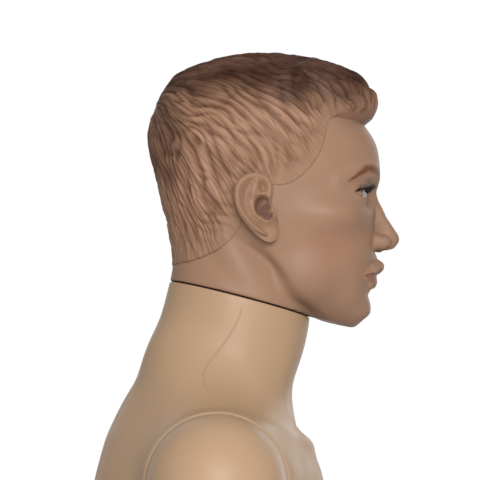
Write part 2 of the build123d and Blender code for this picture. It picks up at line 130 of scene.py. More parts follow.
def bell(x, width):
    """1 at x = 0, falling away to about a third at `width`."""
    return np.exp(-(x / width) ** 2)


def ramp(x, low, high):
    """0 up to `low`, 1 from `high` on, with a smooth rise between."""
    t = np.clip((x - low) / (high - low), 0, 1)
    return t * t * (3 - 2 * t)


def oval(p, centre, radii):
    """Roughly the distance from an ellipsoid's surface, negative inside."""
    q = [(p[i] - centre[i]) / radii[i] for i in range(3)]
    k0 = np.sqrt(q[0] ** 2 + q[1] ** 2 + q[2] ** 2) + 1e-9
    k1 = np.sqrt(sum((q[i] / radii[i]) ** 2 for i in range(3))) + 1e-9
    return k0 * (k0 - 1) / k1


def tube_chain(p, points, k=0.0):
    """Distance from a chain of round-ended tubes given as (x, y, z, radius), blended over k."""
    best = None
    for (ax, ay, az, ar), (bx, by, bz, br) in zip(points[:-1], points[1:]):
        d = (bx - ax, by - ay, bz - az)
        length2 = d[0] ** 2 + d[1] ** 2 + d[2] ** 2
        t = np.clip(((p[0] - ax) * d[0] + (p[1] - ay) * d[1] + (p[2] - az) * d[2]) / length2, 0, 1)
        gap = np.sqrt((p[0] - ax - t * d[0]) ** 2 + (p[1] - ay - t * d[1]) ** 2
                      + (p[2] - az - t * d[2]) ** 2) - (ar + (br - ar) * t)
        best = gap if best is None else soft_min(best, gap, k) if k else np.minimum(best, gap)
    return best


def egg_section(p, table):
    """Distance from a body whose level sections are egg-shaped: front, back, half width, widest, power."""
    front, back, half, widest, power = table(p[2])
    across, along = np.abs(p[0]), p[1] - widest
    reach = np.where(along > 0, back - widest, widest - front)
    q = ((across / half) ** power + (np.abs(along) / reach) ** power) ** (1 / power)
    radius = np.sqrt(across ** 2 + along ** 2)
    return (q - 1) * np.where(q > 0.2, radius / np.maximum(q, 0.2), np.minimum(half, reach))


def cast(directions, body, centre, far, near, coarse=70, fine=18):
    """The outermost distance along each direction at which the body begins."""
    steps = np.linspace(far, near, coarse)
    outer = np.full(directions.shape[0], float(far))
    inner = np.full(directions.shape[0], float(near))
    found = np.zeros(directions.shape[0], bool)
    for before, after in zip(steps[:-1], steps[1:]):
        todo = np.nonzero(~found)[0]
        if not len(todo):
            break
        hit = body((centre + directions[todo] * after).T) < 0
        rows = todo[hit]
        outer[rows], inner[rows], found[rows] = before, after, True
    for _ in range(fine):
        middle = (outer + inner) / 2
        inside = body((centre + directions * middle[:, None]).T) < 0
        inner = np.where(inside, middle, inner)
        outer = np.where(inside, outer, middle)
    return (outer + inner) / 2


def ripple(u, v, cells_u, cells_v, seed):
    """Smooth noise between -1 and 1 over u (which wraps at 1) and v."""
    grid = np.random.default_rng(seed).uniform(-1, 1, (cells_v + 3, cells_u))
    x, y = (u % 1.0) * cells_u, np.clip(v, 0, 1) * cells_v
    i, j = np.floor(x).astype(int), np.floor(y).astype(int)
    fx, fy = x - i, y - j
    fx, fy = fx * fx * (3 - 2 * fx), fy * fy * (3 - 2 * fy)

    def corner(column, row):
        return grid[np.minimum(row, cells_v + 2), column % cells_u]

    low = corner(i, j) * (1 - fx) + corner(i + 1, j) * fx
    high = corner(i, j + 1) * (1 - fx) + corner(i + 1, j + 1) * fx
    return low * (1 - fy) + high * fy


# ---------------------------------------------------------------- mesh helpers
def add_piece(name, points, faces):
    """A mesh object from points in millimetres over the arm axes and index faces."""
    mesh = bpy.data.meshes.new(name)
    mesh.from_pydata((np.asarray(points) * MM + (0, 0, ARM_AXIS)).tolist(), [], faces)
    mesh.shade_smooth()
    mesh.update()
    piece = bpy.data.objects.new(name, mesh)
    scene.collection.objects.link(piece)
    return piece


def net_faces(rows, columns):
    """Quads of a closed rows by columns net, and its two poles: single points numbered after the net."""
    i, j = np.meshgrid(np.arange(rows - 1), np.arange(columns), indexing="ij")
    k = (j + 1) % columns
    quads = np.stack([i * columns + j, i * columns + k, (i + 1) * columns + k, (i + 1) * columns + j], -1)
    faces = quads.reshape(-1, 4).tolist()
    pole, last = rows * columns, (rows - 1) * columns
    faces += [(pole, (a + 1) % columns, a) for a in range(columns)]
    faces += [(pole + 1, last + a, last + (a + 1) % columns) for a in range(columns)]
    return faces


def face_out(piece):
    """Turns all faces of a closed piece outwards."""
    bm = bmesh.new()
    bm.from_mesh(piece.data)
    bmesh.ops.recalc_face_normals(bm, faces=bm.faces)
    bm.to_mesh(piece.data)
    bm.free()


def point_paint(piece, name, values):
    """Stores one value a point, for the piece's finish to read by name."""
    layer = piece.data.attributes.new(name, "FLOAT", "POINT")
    layer.data.foreach_set("value", np.asarray(values, np.float32))


def finish_piece(piece, body, material, replaced=()):
    piece.data.materials.clear()
    piece.data.materials.append(material)
    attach(piece, body)
    if replaced:
        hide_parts(*replaced)


# ---------------------------------------------------------------- head: shape
# height: front, back, half width, widest, power
SKULL = smooth_curve([
    (140.5, -122, -98, 14, -108, 2.0),
    (145, -129, -90, 26, -104, 2.0),
    (151, -132, -80, 35, -94, 2.1),
    (159, -133, -68, 43, -82, 2.15),
    (172, -131.5, -58, 51.5, -70, 2.25),
    (186, -134.5, -50, 57.5, -61, 2.3),
    (200, -138, -37, 61, -52, 2.3),
    (212, -139, -8, 63.5, -44, 2.3),
    (222, -139, 24, 65.5, -37, 2.3),
    (232, -139, 37, 67.5, -32, 2.3),
    (245, -139.5, 43, 69.5, -29, 2.3),
    (260, -140, 47, 70.5, -28, 2.3),
    (275, -142.5, 50, 71.5, -28, 2.25),
    (290, -143, 52, 72, -28, 2.2),
    (305, -139.5, 53, 72, -29, 2.15),
    (320, -130, 51, 70, -30, 2.1),
    (335, -116, 46, 64, -32, 2.1),
    (350, -96, 36, 53, -33, 2.05),
    (361, -74, 22, 39, -33, 2.0),
    (369, -54, 4, 24, -33, 2.0),
    (373, -40, -22, 8, -33, 2.0),
], blur=9.0)
NECK = smooth_curve([
    (100, -70, 68, 66, -4, 2.2),
    (125, -77, 58.3, 62, -12, 2.15),
    (150, -81.8, 50.5, 60, -16, 2.1),
    (165, -81.5, 45.7, 59.5, -18, 2.1),
    (180, -79, 42.4, 58.5, -18, 2.1),
    (195, -74, 39.3, 57.5, -18, 2.1),
    (215, -66, 40, 56, -16, 2.1),
    (240, -58, 41, 54, -12, 2.1),
], blur=8.0)
# height: where the middle line of the face stands
PROFILE = smooth_curve([
    (140.5, -117), (142.5, -127), (148, -132), (153, -135), (158.5, -135.2), (163.8, -134),
    (168.5, -132.3), (172.5, -135.5), (176, -140), (180, -141.3), (183, -141), (185.3, -139.6),
    (187.5, -142.5), (190.7, -146.6), (193.5, -146), (197, -144.2), (201, -143), (204.5, -143.6),
    (207.5, -147), (210.5, -155.5), (213.5, -159.6), (217.5, -160.9), (222, -159.6), (228, -155.4),
    (233, -152), (238, -149), (243.8, -146.4), (249, -143.8), (254, -141.5), (259, -140.2), (264, -142),
    (270, -143.6), (277, -144), (286, -143.4), (297, -141.8), (307.7, -138.3), (318, -132.5),
], blur=0.8)
EYE = np.array([32.0, -118.5, 254.5])
EYE_RADIUS = 11.6
EYE_HALF, UPPER_LID, LOWER_LID, LID_SLANT = 14.2, 4.5, 4.0, 0.06
EYE_TURN = math.radians(17)             # the lids' opening looks a little outwards


def lid_arch(across):
    """1 at the middle of the eye, 0 at its corners: both lids' rise over the corners' line."""
    return np.clip(1 - np.abs(across / EYE_HALF) ** 2.6, -1, 1)


def lid_gap(across, height):
    """Negative between the eyelids: position from the eyeball's centre, outwards and up."""
    above = height - LID_SLANT * across - UPPER_LID * lid_arch(across)
    below = -height + LID_SLANT * across - LOWER_LID * lid_arch(across)
    return np.maximum(above, below)


def eye_frame(p):
    """Outwards and forwards from the nearer eyeball's centre, along the turned opening."""
    across, along = np.abs(p[0]) - EYE[0], EYE[1] - p[1]
    return (across * math.cos(EYE_TURN) - along * math.sin(EYE_TURN),
            across * math.sin(EYE_TURN) + along * math.cos(EYE_TURN))


def head_body(p):
    """Distance from the bare head with its neck stub, down to the neck seam."""
    ax = np.abs(p[0])
    q = (ax, p[1], p[2])
    face = egg_section(p, SKULL)
    face = np.where(p[2] > 373, np.maximum(face, p[2] - 373), face)
    face = soft_max(face, 140.0 - p[2], 7)
    # brow, cheekbones, jaw corner and chin
    brow = [(0, -136, 274, 6.5), (14, -134.5, 274.5, 7), (27, -129, 275.5, 7.2), (41, -117.5, 273, 6.2),
            (51, -104, 265, 5.5)]
    face = soft_min(face, tube_chain(q, brow), 8)
    face = soft_min(face, oval(q, (43, -93, 236), (22.5, 30, 15)), 18)
    face = soft_min(face, oval(q, (0, -119, 155), (19, 15.6, 12.5)), 9)
    face = soft_min(face, oval(q, (42, -74, 180), (15.5, 22, 18)), 18)
    # eye hollows, then the lids over the eyeballs
    face = soft_max(face, -oval(q, (28, -144, 254), (19, 18.5, 13)), 7)
    ball = np.sqrt((ax - EYE[0]) ** 2 + (p[1] - EYE[1]) ** 2 + (p[2] - EYE[2]) ** 2)
    face = soft_min(face, ball - 13.0, 5.0)
    # nose: bridge, tip, wings and the bar between the nostrils
    bridge = [(0, -133.5, 266, 5.5), (0, -137, 255, 5.3), (0, -142, 240, 6.4), (0, -148, 227, 8.0),
              (0, -152.4, 219, 8.5)]
    nose = tube_chain(p, bridge, 5.0)
    nose = soft_min(nose, oval(q, (11.2, -142, 214.3), (6.6, 10.5, 6.6)), 5)
    nose = soft_min(nose, tube_chain(p, [(0, -153, 213.5, 4.2), (0, -143, 209.5, 3.6)]), 4)
    nose = soft_max(nose, -oval(q, (6.4, -146.5, 207.5), (3.1, 6.0, 3.8)), 1.6)
    face = soft_min(face, nose, 4.5)
    # lips: a bowed upper and a fuller lower one, with the mouth line pressed between them
    upper = [(0, -139.2, 190.2, 5.9), (5, -139.6, 191.4, 5.6), (13, -136.8, 189.2, 4.6),
             (22.5, -129.6, 185.4, 2.6)]
    lower = [(0, -135.2, 179.6, 5.8), (10, -133.4, 179.8, 5.2), (21, -128.2, 184.0, 2.6)]
    between = [(0, -144.2, 185.2, 1.6), (10, -141.8, 185.0, 1.5), (18, -136.6, 184.6, 1.4),
               (25.0, -130.0, 183.4, 1.1)]
    face = soft_min(face, tube_chain(q, upper, 3.0), 4.0)
    face = soft_min(face, tube_chain(q, lower, 3.0), 4.5)
    face = soft_max(face, -tube_chain(q, between, 1.0), 1.6)
    # groove under the nose
    face = soft_max(face, -tube_chain(p, [(0, -147.6, 204, 3.2), (0, -149.6, 194, 3.4)]), 2.0)
    column = np.maximum(egg_section(p, NECK), p[2] - 232)
    # a neck muscle runs from behind each ear towards the throat
    muscle = [(49, -6, 215, 12), (47, -22, 185, 11), (38, -46, 150, 10), (30, -60, 120, 9)]
    column = soft_min(column, tube_chain(q, muscle), 9)
    whole = soft_min(face, column, 9)
    # the almond openings, with the eyeball's bed behind them
    bed = oval(q, (EYE[0] + 0.4, EYE[1] + 0.6, EYE[2]), (14.9, 11.0, 11.6))
    outwards, forwards = eye_frame(p)
    opening = np.maximum(lid_gap(outwards, p[2] - EYE[2]), -1 - forwards)
    whole = np.maximum(whole, np.minimum(-opening, bed))
    seam = math.cos(NECK_TILT) * (p[2] - SEAM_MIDDLE[1]) - math.sin(NECK_TILT) * (p[1] - SEAM_MIDDLE[0])
    return soft_max(whole, 1.05 - seam, 1.2)


def spread(low, high, count, weight):
    """Angles from low to high whose spacing is closer where weight is larger."""
    fine = np.linspace(low, high, 4001)
    total = np.concatenate([[0], np.cumsum(weight((fine[1:] + fine[:-1]) / 2))])
    return np.interp(np.linspace(0, total[-1], count), total, fine)


def ray(turn, rise):
    """Unit directions: degrees round from the face, and degrees up."""
    turn, rise = np.radians(turn), np.radians(rise)
    return np.stack([np.sin(turn) * np.cos(rise), -np.cos(turn) * np.cos(rise), np.sin(rise)], -1)


# how closely the net's rows and columns lie: degrees up to which a weight holds, and the weight
TURN_WEIGHTS = [(9, 5.5), (34, 4.6), (60, 1.8), (181, 0.75)]
RISE_WEIGHTS = [(-62, 0.8), (-2, 2.6), (14, 4.6), (40, 1.2), (89, 0.5)]
FACE_LOW, FACE_HIGH = 146, 316             # heights between which the middle line follows the profile
# height: how far to each side a change of the middle line reaches
PROFILE_WIDTHS = [(140, 16), (160, 18), (172, 17), (200, 15), (206, 8), (222, 8), (262, 6.5), (275, 20),
                  (320, 50)]


def weight_steps(steps):
    """A function that gives each angle the weight of the first step that it lies below."""
    limits, weights = np.array(steps, float).T
    return lambda angle: weights[np.searchsorted(limits, angle, side="right")]


def head_net(half, rows):
    """Points of the head as rows by 2 * half columns; one side is cast and the other mirrors it."""
    side = spread(0, 180, half + 1, weight_steps(TURN_WEIGHTS))
    turns = np.concatenate([side, -side[1:-1][::-1]])
    turn, rise = np.meshgrid(turns, spread(-88, 88, rows, weight_steps(RISE_WEIGHTS)))
    directions = ray(turn, rise).reshape(-1, 3)
    keep = (turn.reshape(-1) >= 0)
    reach = np.zeros(len(directions))
    reach[keep] = cast(directions[keep], head_body, HEAD_CENTRE, 134, 58, coarse=150)
    reach = reach.reshape(rows, len(turns))
    reach[:, half + 1:] = reach[:, 1:half][:, ::-1]
    return (HEAD_CENTRE + directions * reach.reshape(-1, 1)).reshape(rows, len(turns), 3)


def onto_profile(net):
    """Brings the middle line exactly onto the profile, fading out to the sides; gives a flat list."""
    middle, points = net[:, 0], net.reshape(-1, 3)
    bare = (middle[:, 2] > FACE_LOW) & (middle[:, 2] < FACE_HIGH) & (middle[:, 1] < -95)
    heights, error = middle[bare, 2], np.clip(PROFILE(middle[bare, 2])[0] - middle[bare, 1], -4, 4)
    order = np.argsort(heights)
    steps = np.arange(FACE_LOW, FACE_HIGH, 0.25)
    error = np.pad(np.interp(steps, heights[order], error[order]), 8, mode="edge")
    error = np.convolve(error, np.full(17, 1 / 17), mode="valid")
    error *= ramp(steps, FACE_LOW, FACE_LOW + 6) * (1 - ramp(steps, FACE_HIGH - 20, FACE_HIGH))
    shift = np.interp(points[:, 2], steps, error, left=0, right=0)
    shift *= 1 - bell(points[:, 2] - 208, 5)              # the nose's underside lies along the rays
    heights, widths = np.array(PROFILE_WIDTHS, float).T
    width = np.interp(points[:, 2], heights, widths)
    points[:, 1] += shift * bell(points[:, 0], width) * (points[:, 1] < -90)
    return points


def paint_head(piece, p):
    """Where the brows, lips, blush and eye liner are painted, and the painted shade in the lid crease."""
    ax = np.abs(p[0])
    q = (ax, p[1], p[2])
    flat = (ax, 0 * ax, p[2])
    brow = [(9, 0, 271, 2.0), (17, 0, 274.5, 2.9), (28, 0, 277.6, 3.0), (38, 0, 277.2, 2.4),
            (46, 0, 271.5, 1.4), (51.5, 0, 265.5, 0.4)]
    point_paint(piece, "brow", ramp(-tube_chain(flat, brow), -1.8, 0.9) * (p[1] < -90))
    upper_lip = [(0, -143, 186.5, 5.6), (5, -142, 187.0, 5.8), (13, -138, 185.6, 4.4), (23, -131, 184, 1.2)]
    lower_lip = [(0, -139, 180.4, 5.4), (10, -137, 180.6, 4.9), (22, -130, 183.6, 1.2)]
    lips = np.minimum(tube_chain(q, upper_lip), tube_chain(q, lower_lip))
    point_paint(piece, "lips", ramp(-lips, -1.0, 0.6) * ramp(-p[1], 118, 126))
    point_paint(piece, "blush", bell(ax - 52, 26) * bell(p[1] + 98, 24) * bell(p[2] - 208, 20))
    outwards, forwards = eye_frame(p)
    gap = lid_gap(outwards, p[2] - EYE[2])
    ball = np.sqrt((ax - EYE[0]) ** 2 + (p[1] - EYE[1]) ** 2 + (p[2] - EYE[2]) ** 2)
    upper = ramp(p[2] - EYE[2] - LID_SLANT * outwards, -0.5, 1.5)
    point_paint(piece, "liner", bell(gap, 1.2) * np.maximum(upper, 0.3) * (ball < 18) * (forwards > 0))
    # painted shade along the lid crease
    crease = bell(p[2] - EYE[2] - 8.6 + 0.018 * outwards ** 2, 1.4)
    point_paint(piece, "shadow", crease * ramp(19 - np.abs(outwards), 2, 12) * (p[1] < -95))


def make_head_skin():
    half, rows = ((190, 250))
    net = head_net(half, rows)
    points = onto_profile(net)
    rings = points.reshape(rows, 2 * half, 3)
    points = np.vstack([points, rings[0].mean(0), rings[-1].mean(0)])
    piece = add_piece("head_skin", points, net_faces(rows, 2 * half))
    paint_head(piece, points.T)
    return piece


head_skin = make_head_skin()


# ---------------------------------------------------------------- ears
EAR_MIDDLE, EAR_SCALE = (-33.0, 239.8), 0.975        # y and height
# forwards and upwards from the ear's middle, mm
EAR_EDGE = [
    (-1, 31.2), (6.2, 29.9), (12.3, 26.4), (15.4, 21.7), (15.6, 13.7), (14.6, 6.5), (15.4, 1.4),
    (18.4, -4.7), (20.0, -9.8), (20.6, -15.0), (20.4, -21.5), (18.2, -28.0), (12.8, -30.7), (6.2, -28.6),
    (-0.9, -23), (-7.5, -15.9), (-13.6, -7.7), (-17.7, 1.4), (-19, 10.6), (-17.7, 19.3), (-13.6, 25.4),
    (-7.5, 29.5),
]
# ridges on its face: forwards, upwards and half width
EAR_RIM = [
    (5.5, 3.0, 1.0), (9.5, 6.5, 1.6), (12.2, 11, 2.2), (12.8, 16, 2.6), (12.2, 21.4, 2.8), (9.2, 25.6, 2.8),
    (4.6, 27.8, 2.8), (-0.9, 28.5, 2.8), (-7.5, 26.7, 2.8), (-12.5, 22.6, 2.8), (-15.6, 16.7, 2.8),
    (-16.2, 9.6, 2.8), (-14.9, 1.4, 2.6), (-11.6, -5.4, 2.4), (-6.7, -12.0, 2.2), (-1.2, -17.6, 2.0),
    (4.6, -21.6, 1.6), (9, -24, 1.0),
]
EAR_INNER = [
    (10.5, -12.5, 2.0), (3.9, -8.6, 2.8), (-0.9, -3.8, 3.2), (-3.2, 2.4, 3.4), (-2.9, 8.6, 3.4),
    (-1.2, 14.7, 3.2), (0.2, 19.8, 2.6), (1.1, 23.2, 1.8),
]
EAR_BRANCH = [(-2.0, 10.5, 2.2), (3.5, 12.3, 1.8), (9.5, 13.2, 1.4)]
EAR_FLAP = [(14.2, 0.6, 1.4), (16.0, -3.6, 2.4), (16.6, -7.6, 1.6)]
EAR_ROOT = 66.5                                      # how far out the ear's inner side stands
# behind the edge: share of the edge's size, and how far behind the edge
EAR_BACK = [(1.000, 1.2), (0.985, 2.6), (0.955, 4.0), (0.90, 5.0), (0.80, 5.8), (0.66, 8.5), (0.5, 13.0),
            (0.36, 19.0)]


def ridge(u, v, points, height):
    """A rounded ridge along a line of (u, v, half width)."""
    best = np.zeros_like(u)
    for (au, av, aw), (bu, bv, bw) in zip(points[:-1], points[1:]):
        t = np.clip(((u - au) * (bu - au) + (v - av) * (bv - av)) / ((bu - au) ** 2 + (bv - av) ** 2), 0, 1)
        gap = np.hypot(u - au - t * (bu - au), v - av - t * (bv - av)) / (aw + (bw - aw) * t)
        best = np.maximum(best, np.exp(-(gap * 0.8) ** 2))
    return height * best


def running_length(line):
    """How far along a line each of its points lies."""
    return np.concatenate([[0], np.cumsum(np.linalg.norm(np.diff(line, axis=0), axis=1))])


def closed_outline(points, count):
    """Evenly spaced points on a smooth closed line through the given ones."""
    ring_points = np.array(points, float)
    n = len(ring_points)
    at = np.linspace(0, n, count * 4, endpoint=False)
    i, t = np.floor(at).astype(int), (at % 1)[:, None]
    a, b, c, d = (ring_points[(i + k) % n] for k in (-1, 0, 1, 2))
    line = 0.5 * (2 * b + (c - a) * t + (2 * a - 5 * b + 4 * c - d) * t ** 2
                  + (3 * b - a - 3 * c + d) * t ** 3)
    closed = np.vstack([line, line[:1]])
    length = running_length(closed)
    want = np.linspace(0, length[-1], count, endpoint=False)
    return np.stack([np.interp(want, length, closed[:, k]) for k in (0, 1)], -1)


def make_ear(name, sign):
    columns, rows = 150, 60
    edge = closed_outline(EAR_EDGE, columns)
    middle = np.array([4.0, 0.0])
    share = np.linspace(0.03, 1, rows) ** 0.85
    flat = middle + share[:, None, None] * (edge - middle)
    u, v = flat[..., 0], flat[..., 1]
    lean = 9.0 - 0.33 * u - 0.0035 * (u + 4) ** 2
    lobe = 2.2 * bell(np.hypot(u - 13.5, v + 24), 8)
    shape = (ridge(u, v, EAR_RIM, 4.6) + ridge(u, v, EAR_INNER, 3.8) + ridge(u, v, EAR_BRANCH, 2.0)
             + ridge(u, v, EAR_FLAP, 3.4) + lobe)
    # the bowl round the ear hole, and its notch below
    bowl = ramp(1 - np.hypot((u - 6.2) / 8.2, (v - 1.2) / 10.8), 0, 0.42)
    notch = 1 - np.hypot((u - 11.0 - 0.35 * (v + 8)) / 6.2, (v + 7.2) / 4.4)
    bowl = np.maximum(bowl, ramp(notch, 0, 0.6))
    shape = shape * (1 - 0.55 * bowl) - 0.9 * bell(np.hypot(u - 6.5, (v - 18) * 0.7), 4.5)
    front = lean + shape
    front = front * (1 - bowl) + np.minimum(front, 4.0) * bowl
    front_rows = np.stack([u, v, front], -1)
    # the rim rolls over and returns behind, towards the head
    back_rows = np.array([np.column_stack([middle + size * (edge - middle), front[-1] - drop])
                          for size, drop in EAR_BACK])
    net = np.concatenate([front_rows, back_rows])
    local = np.vstack([net.reshape(-1, 3), front_rows[0].mean(0), back_rows[-1].mean(0)])
    points = np.stack([sign * (EAR_ROOT + local[:, 2]), EAR_MIDDLE[0] - EAR_SCALE * local[:, 0],
                       EAR_MIDDLE[1] + EAR_SCALE * local[:, 1]], -1)
    piece = add_piece(name, points, net_faces(len(net), columns))
    face_out(piece)
    # painted shade: the paint lies darker in the bowl and the folds, on the back, and at the two poles
    face_shade = (bowl * 0.9 + 0.5 * bell(shape, 1.1)).reshape(-1)
    back_shade = np.full(len(back_rows) * columns, 0.35)
    point_paint(piece, "cavity_shade", np.concatenate([face_shade, back_shade, [0.9, 0.3]]))
    return piece


ears = {side: make_ear(f"{side}_ear", sign) for side, sign in (("left", 1), ("right", -1))}


# ---------------------------------------------------------------- hair: a moulded cap of strands
WHORL = np.array([0.0, 52.0, 330.0])
EDGE_THICKNESS = 2.4                    # of the hair where it starts to thin out towards the hairline
# height: front, back, half width, widest, power of the hair's outer shape
HAIR = smooth_curve([
    (195, -120, 38, 60, -22, 2.2), (203, -128, 41, 63, -22, 2.2), (212, -133, 43, 66.5, -24, 2.2),
    (222, -134, 44.5, 69.5, -26, 2.2), (235, -134, 47, 72.5, -27, 2.2), (250, -134, 50, 75.5, -28, 2.2),
    (265, -136, 53, 77.3, -28, 2.2), (280, -138, 57, 78.5, -28, 2.2), (297, -138, 61.5, 79, -28, 2.2),
    (310, -134, 62.5, 78.5, -29, 2.2), (320, -133, 61, 77, -30, 2.2), (327, -139, 58.5, 75.2, -31, 2.25),
    (336, -142.5, 55, 72.5, -32, 2.3), (345, -142, 51.5, 68.5, -33, 2.3), (356, -134, 45, 61, -34, 2.3),
    (365, -123, 33, 51, -36, 2.25), (372, -110, 21, 40, -38, 2.2), (377, -98, 7, 29, -41, 2.2),
    (380.5, -80, -10, 18, -44, 2.2), (382.3, -60, -30, 6, -46, 2.2)], blur=3.0)
# each line of growth leaves the whorl, bends at two points and ends at the hairline
GROWTH = [
    ((0, -5, 402), (0, -100, 398), (0, -139, 326)), ((16, 0, 400), (26, -98, 394), (24, -137, 327)),
    ((32, 6, 392), (48, -88, 380), (43, -122, 329)), ((44, 10, 380), (64, -72, 360), (57, -101, 329)),
    ((50, 14, 366), (74, -66, 347), (64, -98, 311)), ((54, 18, 356), (80, -60, 334), (68, -93, 290)),
    ((56, 22, 350), (82, -48, 324), (70, -80, 273.5)), ((56, 26, 344), (82, -34, 316), (72, -62, 258.5)),
    ((55, 30, 338), (82, -18, 308), (73, -44, 262.5)), ((53, 34, 332), (80, -2, 294), (73, -26, 255)),
    ((50, 38, 326), (76, 12, 279), (68, -20, 223)), ((44, 44, 320), (68, 26, 264), (62, -8, 208)),
    ((35, 48, 314), (56, 40, 252), (50, 12, 199)), ((20, 54, 310), (36, 54, 246), (30, 32, 196)),
    ((0, 58, 308), (0, 60, 245), (0, 42, 195)),
]


def hair_body(p):
    """Distance from the hair's outer shape, before its strands."""
    return np.maximum(egg_section(p, HAIR), p[2] - 382.6)


def growth_paths(half, rows):
    """Lines of growth all round the head as rows by 2 * half points, and each row's share of the way."""
    lines = np.array(GROWTH, float)                       # line, control, xyz
    length = running_length(lines[:, 2])
    table = [(a, *row) for a, row in zip(length, lines.reshape(len(lines), -1))]
    keys = smooth_curve(table, blur=9.0)(np.linspace(0, length[-1], half + 1))
    side = np.stack(keys, -1).reshape(half + 1, 3, 3)
    side[0, :, 0] = side[-1, :, 0] = 0
    control = np.concatenate([side, side[1:-1][::-1] * (-1, 1, 1)])
    t = np.linspace(0.012, 1, rows)
    t = (t + 0.05 * np.sin(np.pi * t) ** 2)[:, None, None]
    path = ((1 - t) ** 3 * WHORL + 3 * t * (1 - t) ** 2 * control[:, 0] + 3 * t * t * (1 - t) * control[:, 1]
            + t ** 3 * control[:, 2])
    return path, t[:, 0, 0]


def make_hair():
    half, rows = ((360, 130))
    path, way = growth_paths(half, rows)
    columns = 2 * half
    away = path - HEAD_CENTRE
    directions = (away / np.linalg.norm(away, axis=-1, keepdims=True)).reshape(-1, 3)
    outer = cast(directions, hair_body, HEAD_CENTRE, 175, 60).reshape(rows, columns)
    inner = cast(directions, head_body, HEAD_CENTRE, 160, 50, fine=10).reshape(rows, columns)
    directions = directions.reshape(rows, columns, 3)
    v = np.repeat(way[:, None], columns, 1)
    s = np.arange(columns) / columns
    u = np.repeat(s[None], rows, 0)
    front = np.minimum(s, 1 - s) * 2                      # 0 at the brow, 1 at the nape
    top = 1 - ramp(front, 0.17, 0.30)[None] * np.ones_like(u)
    quiff = 1 - ramp(front, 0.12, 0.24)[None] * np.ones_like(u)
    # thinner towards the hairline, except under the quiff
    edge = ramp(v, 0.62, 1.0) * (1 - quiff)
    lift = np.maximum(outer - inner, EDGE_THICKNESS)
    thin = ramp(v, 0.80, 1.0) * (1 - quiff)
    base = inner + lift * (1 - edge) + (EDGE_THICKNESS - 1.7 * thin) * edge
    place = HEAD_CENTRE + directions * base[..., None]
    # mm round the head per turn of u
    gap = np.linalg.norm(np.roll(place, -1, 1) - place, axis=-1) * columns

    def strands(width, seed, wander, sharp):
        """Rounded strands about `width` mm wide whose number doubles as they fan out."""
        level = np.log2(np.maximum(gap / width, 6) / 6)
        total = np.zeros_like(u)
        for k in range(8):
            share = np.clip(1 - np.abs(level - k), 0, 1)
            if share.max() <= 0:
                continue
            count = 6 * 2 ** k
            slow = ripple(u, v, max(6, count // 3), 5, seed + k)
            quick = ripple(u, v, max(8, count), 9, seed + 20 + k)
            phase = u * count + wander * slow + 0.35 * wander * quick
            total += share * np.abs(np.sin(np.pi * phase)) ** sharp
        return total

    locks = strands(19.0, 3, 1.3, 0.85)
    bundles = strands(8.6, 11, 1.5, 0.7)
    fine = strands(4.0, 29, 1.5, 0.7)
    hairs = strands(2.0, 47, 0.8, 1.0)
    swell = ripple(u, v, 26, 5, 91)
    # waves across the swept top
    sideways = np.abs(np.where(u > 0.5, u - 1, u))
    wave = np.abs(np.sin(np.pi * (v * 6.5 + 9 * sideways + 0.8 * ripple(u, v, 30, 6, 71)))) ** 0.8
    crest = top * ramp(v, 0.30, 0.55)
    rough = ramp(v, 0.02, 0.14) * (1 - 0.45 * ramp(v, 0.9, 1.0) * (1 - quiff))
    relief = ((1.4 + 2.2 * top) * (locks - 0.75) + (2.2 + 0.8 * top) * (bundles - 0.75)
              + 1.0 * (fine - 0.7) + 0.12 * (hairs - 0.6) + 0.8 * swell)
    relief = rough * relief + 2.6 * crest * (wave - 0.75)
    reach = base + np.clip(relief, -np.maximum(base - inner - 0.5, 0.2), 4)
    # painted shade: darker colour in the grooves between the strands
    groove_shade = np.clip(0.55 * (1 - fine) + 1.0 * (1 - bundles) + 0.6 * (1 - locks) - 0.12, 0, 1)
    groove_shade = groove_shade * rough * (1 - 0.6 * thin)
    points = HEAD_CENTRE + directions * reach[..., None]
    # curl the quiff's end under, then close the cap inside the head
    under = []
    for keep, sink in ((0.45, 0.0), (0.0, -1.0), (0.0, -3.5)):
        r = inner[-1] + (reach[-1] - inner[-1]) * keep + sink
        under.append(HEAD_CENTRE + directions[-1] * r[:, None])
    for share in (0.8, 0.5, 0.25):
        row = int(share * (rows - 1))
        under.append(HEAD_CENTRE + directions[row] * (inner[row] - 4.5)[:, None])
    net = np.concatenate([points, np.array(under)])
    points = np.vstack([net.reshape(-1, 3), points[0].mean(0), under[-1].mean(0)])
    piece = add_piece("hair", points, net_faces(len(net), columns))
    face_out(piece)
    extra = np.zeros(len(under) * columns + 2)
    # painted shade in the grooves; the hidden rows under the cap get a middle value
    point_paint(piece, "groove_shade", np.concatenate([groove_shade.reshape(-1), extra + 0.5]))
    point_paint(piece, "thin_edge", np.concatenate([thin.reshape(-1), extra]))
    # brown sprayed over the top and back, thinning down the sides
    high = place[..., 2] + 10 * ripple(u, v, 22, 4, 5)
    spray = ramp(high, 320, 356) * 0.95
    behind = ramp(place[..., 1] + 8 * ripple(u, v, 18, 5, 6), 14, 46) * ramp(place[..., 2], 225, 300) * 0.62
    point_paint(piece, "brown", np.concatenate([np.maximum(spray, behind).reshape(-1), extra]))
    return piece


hair = make_hair()


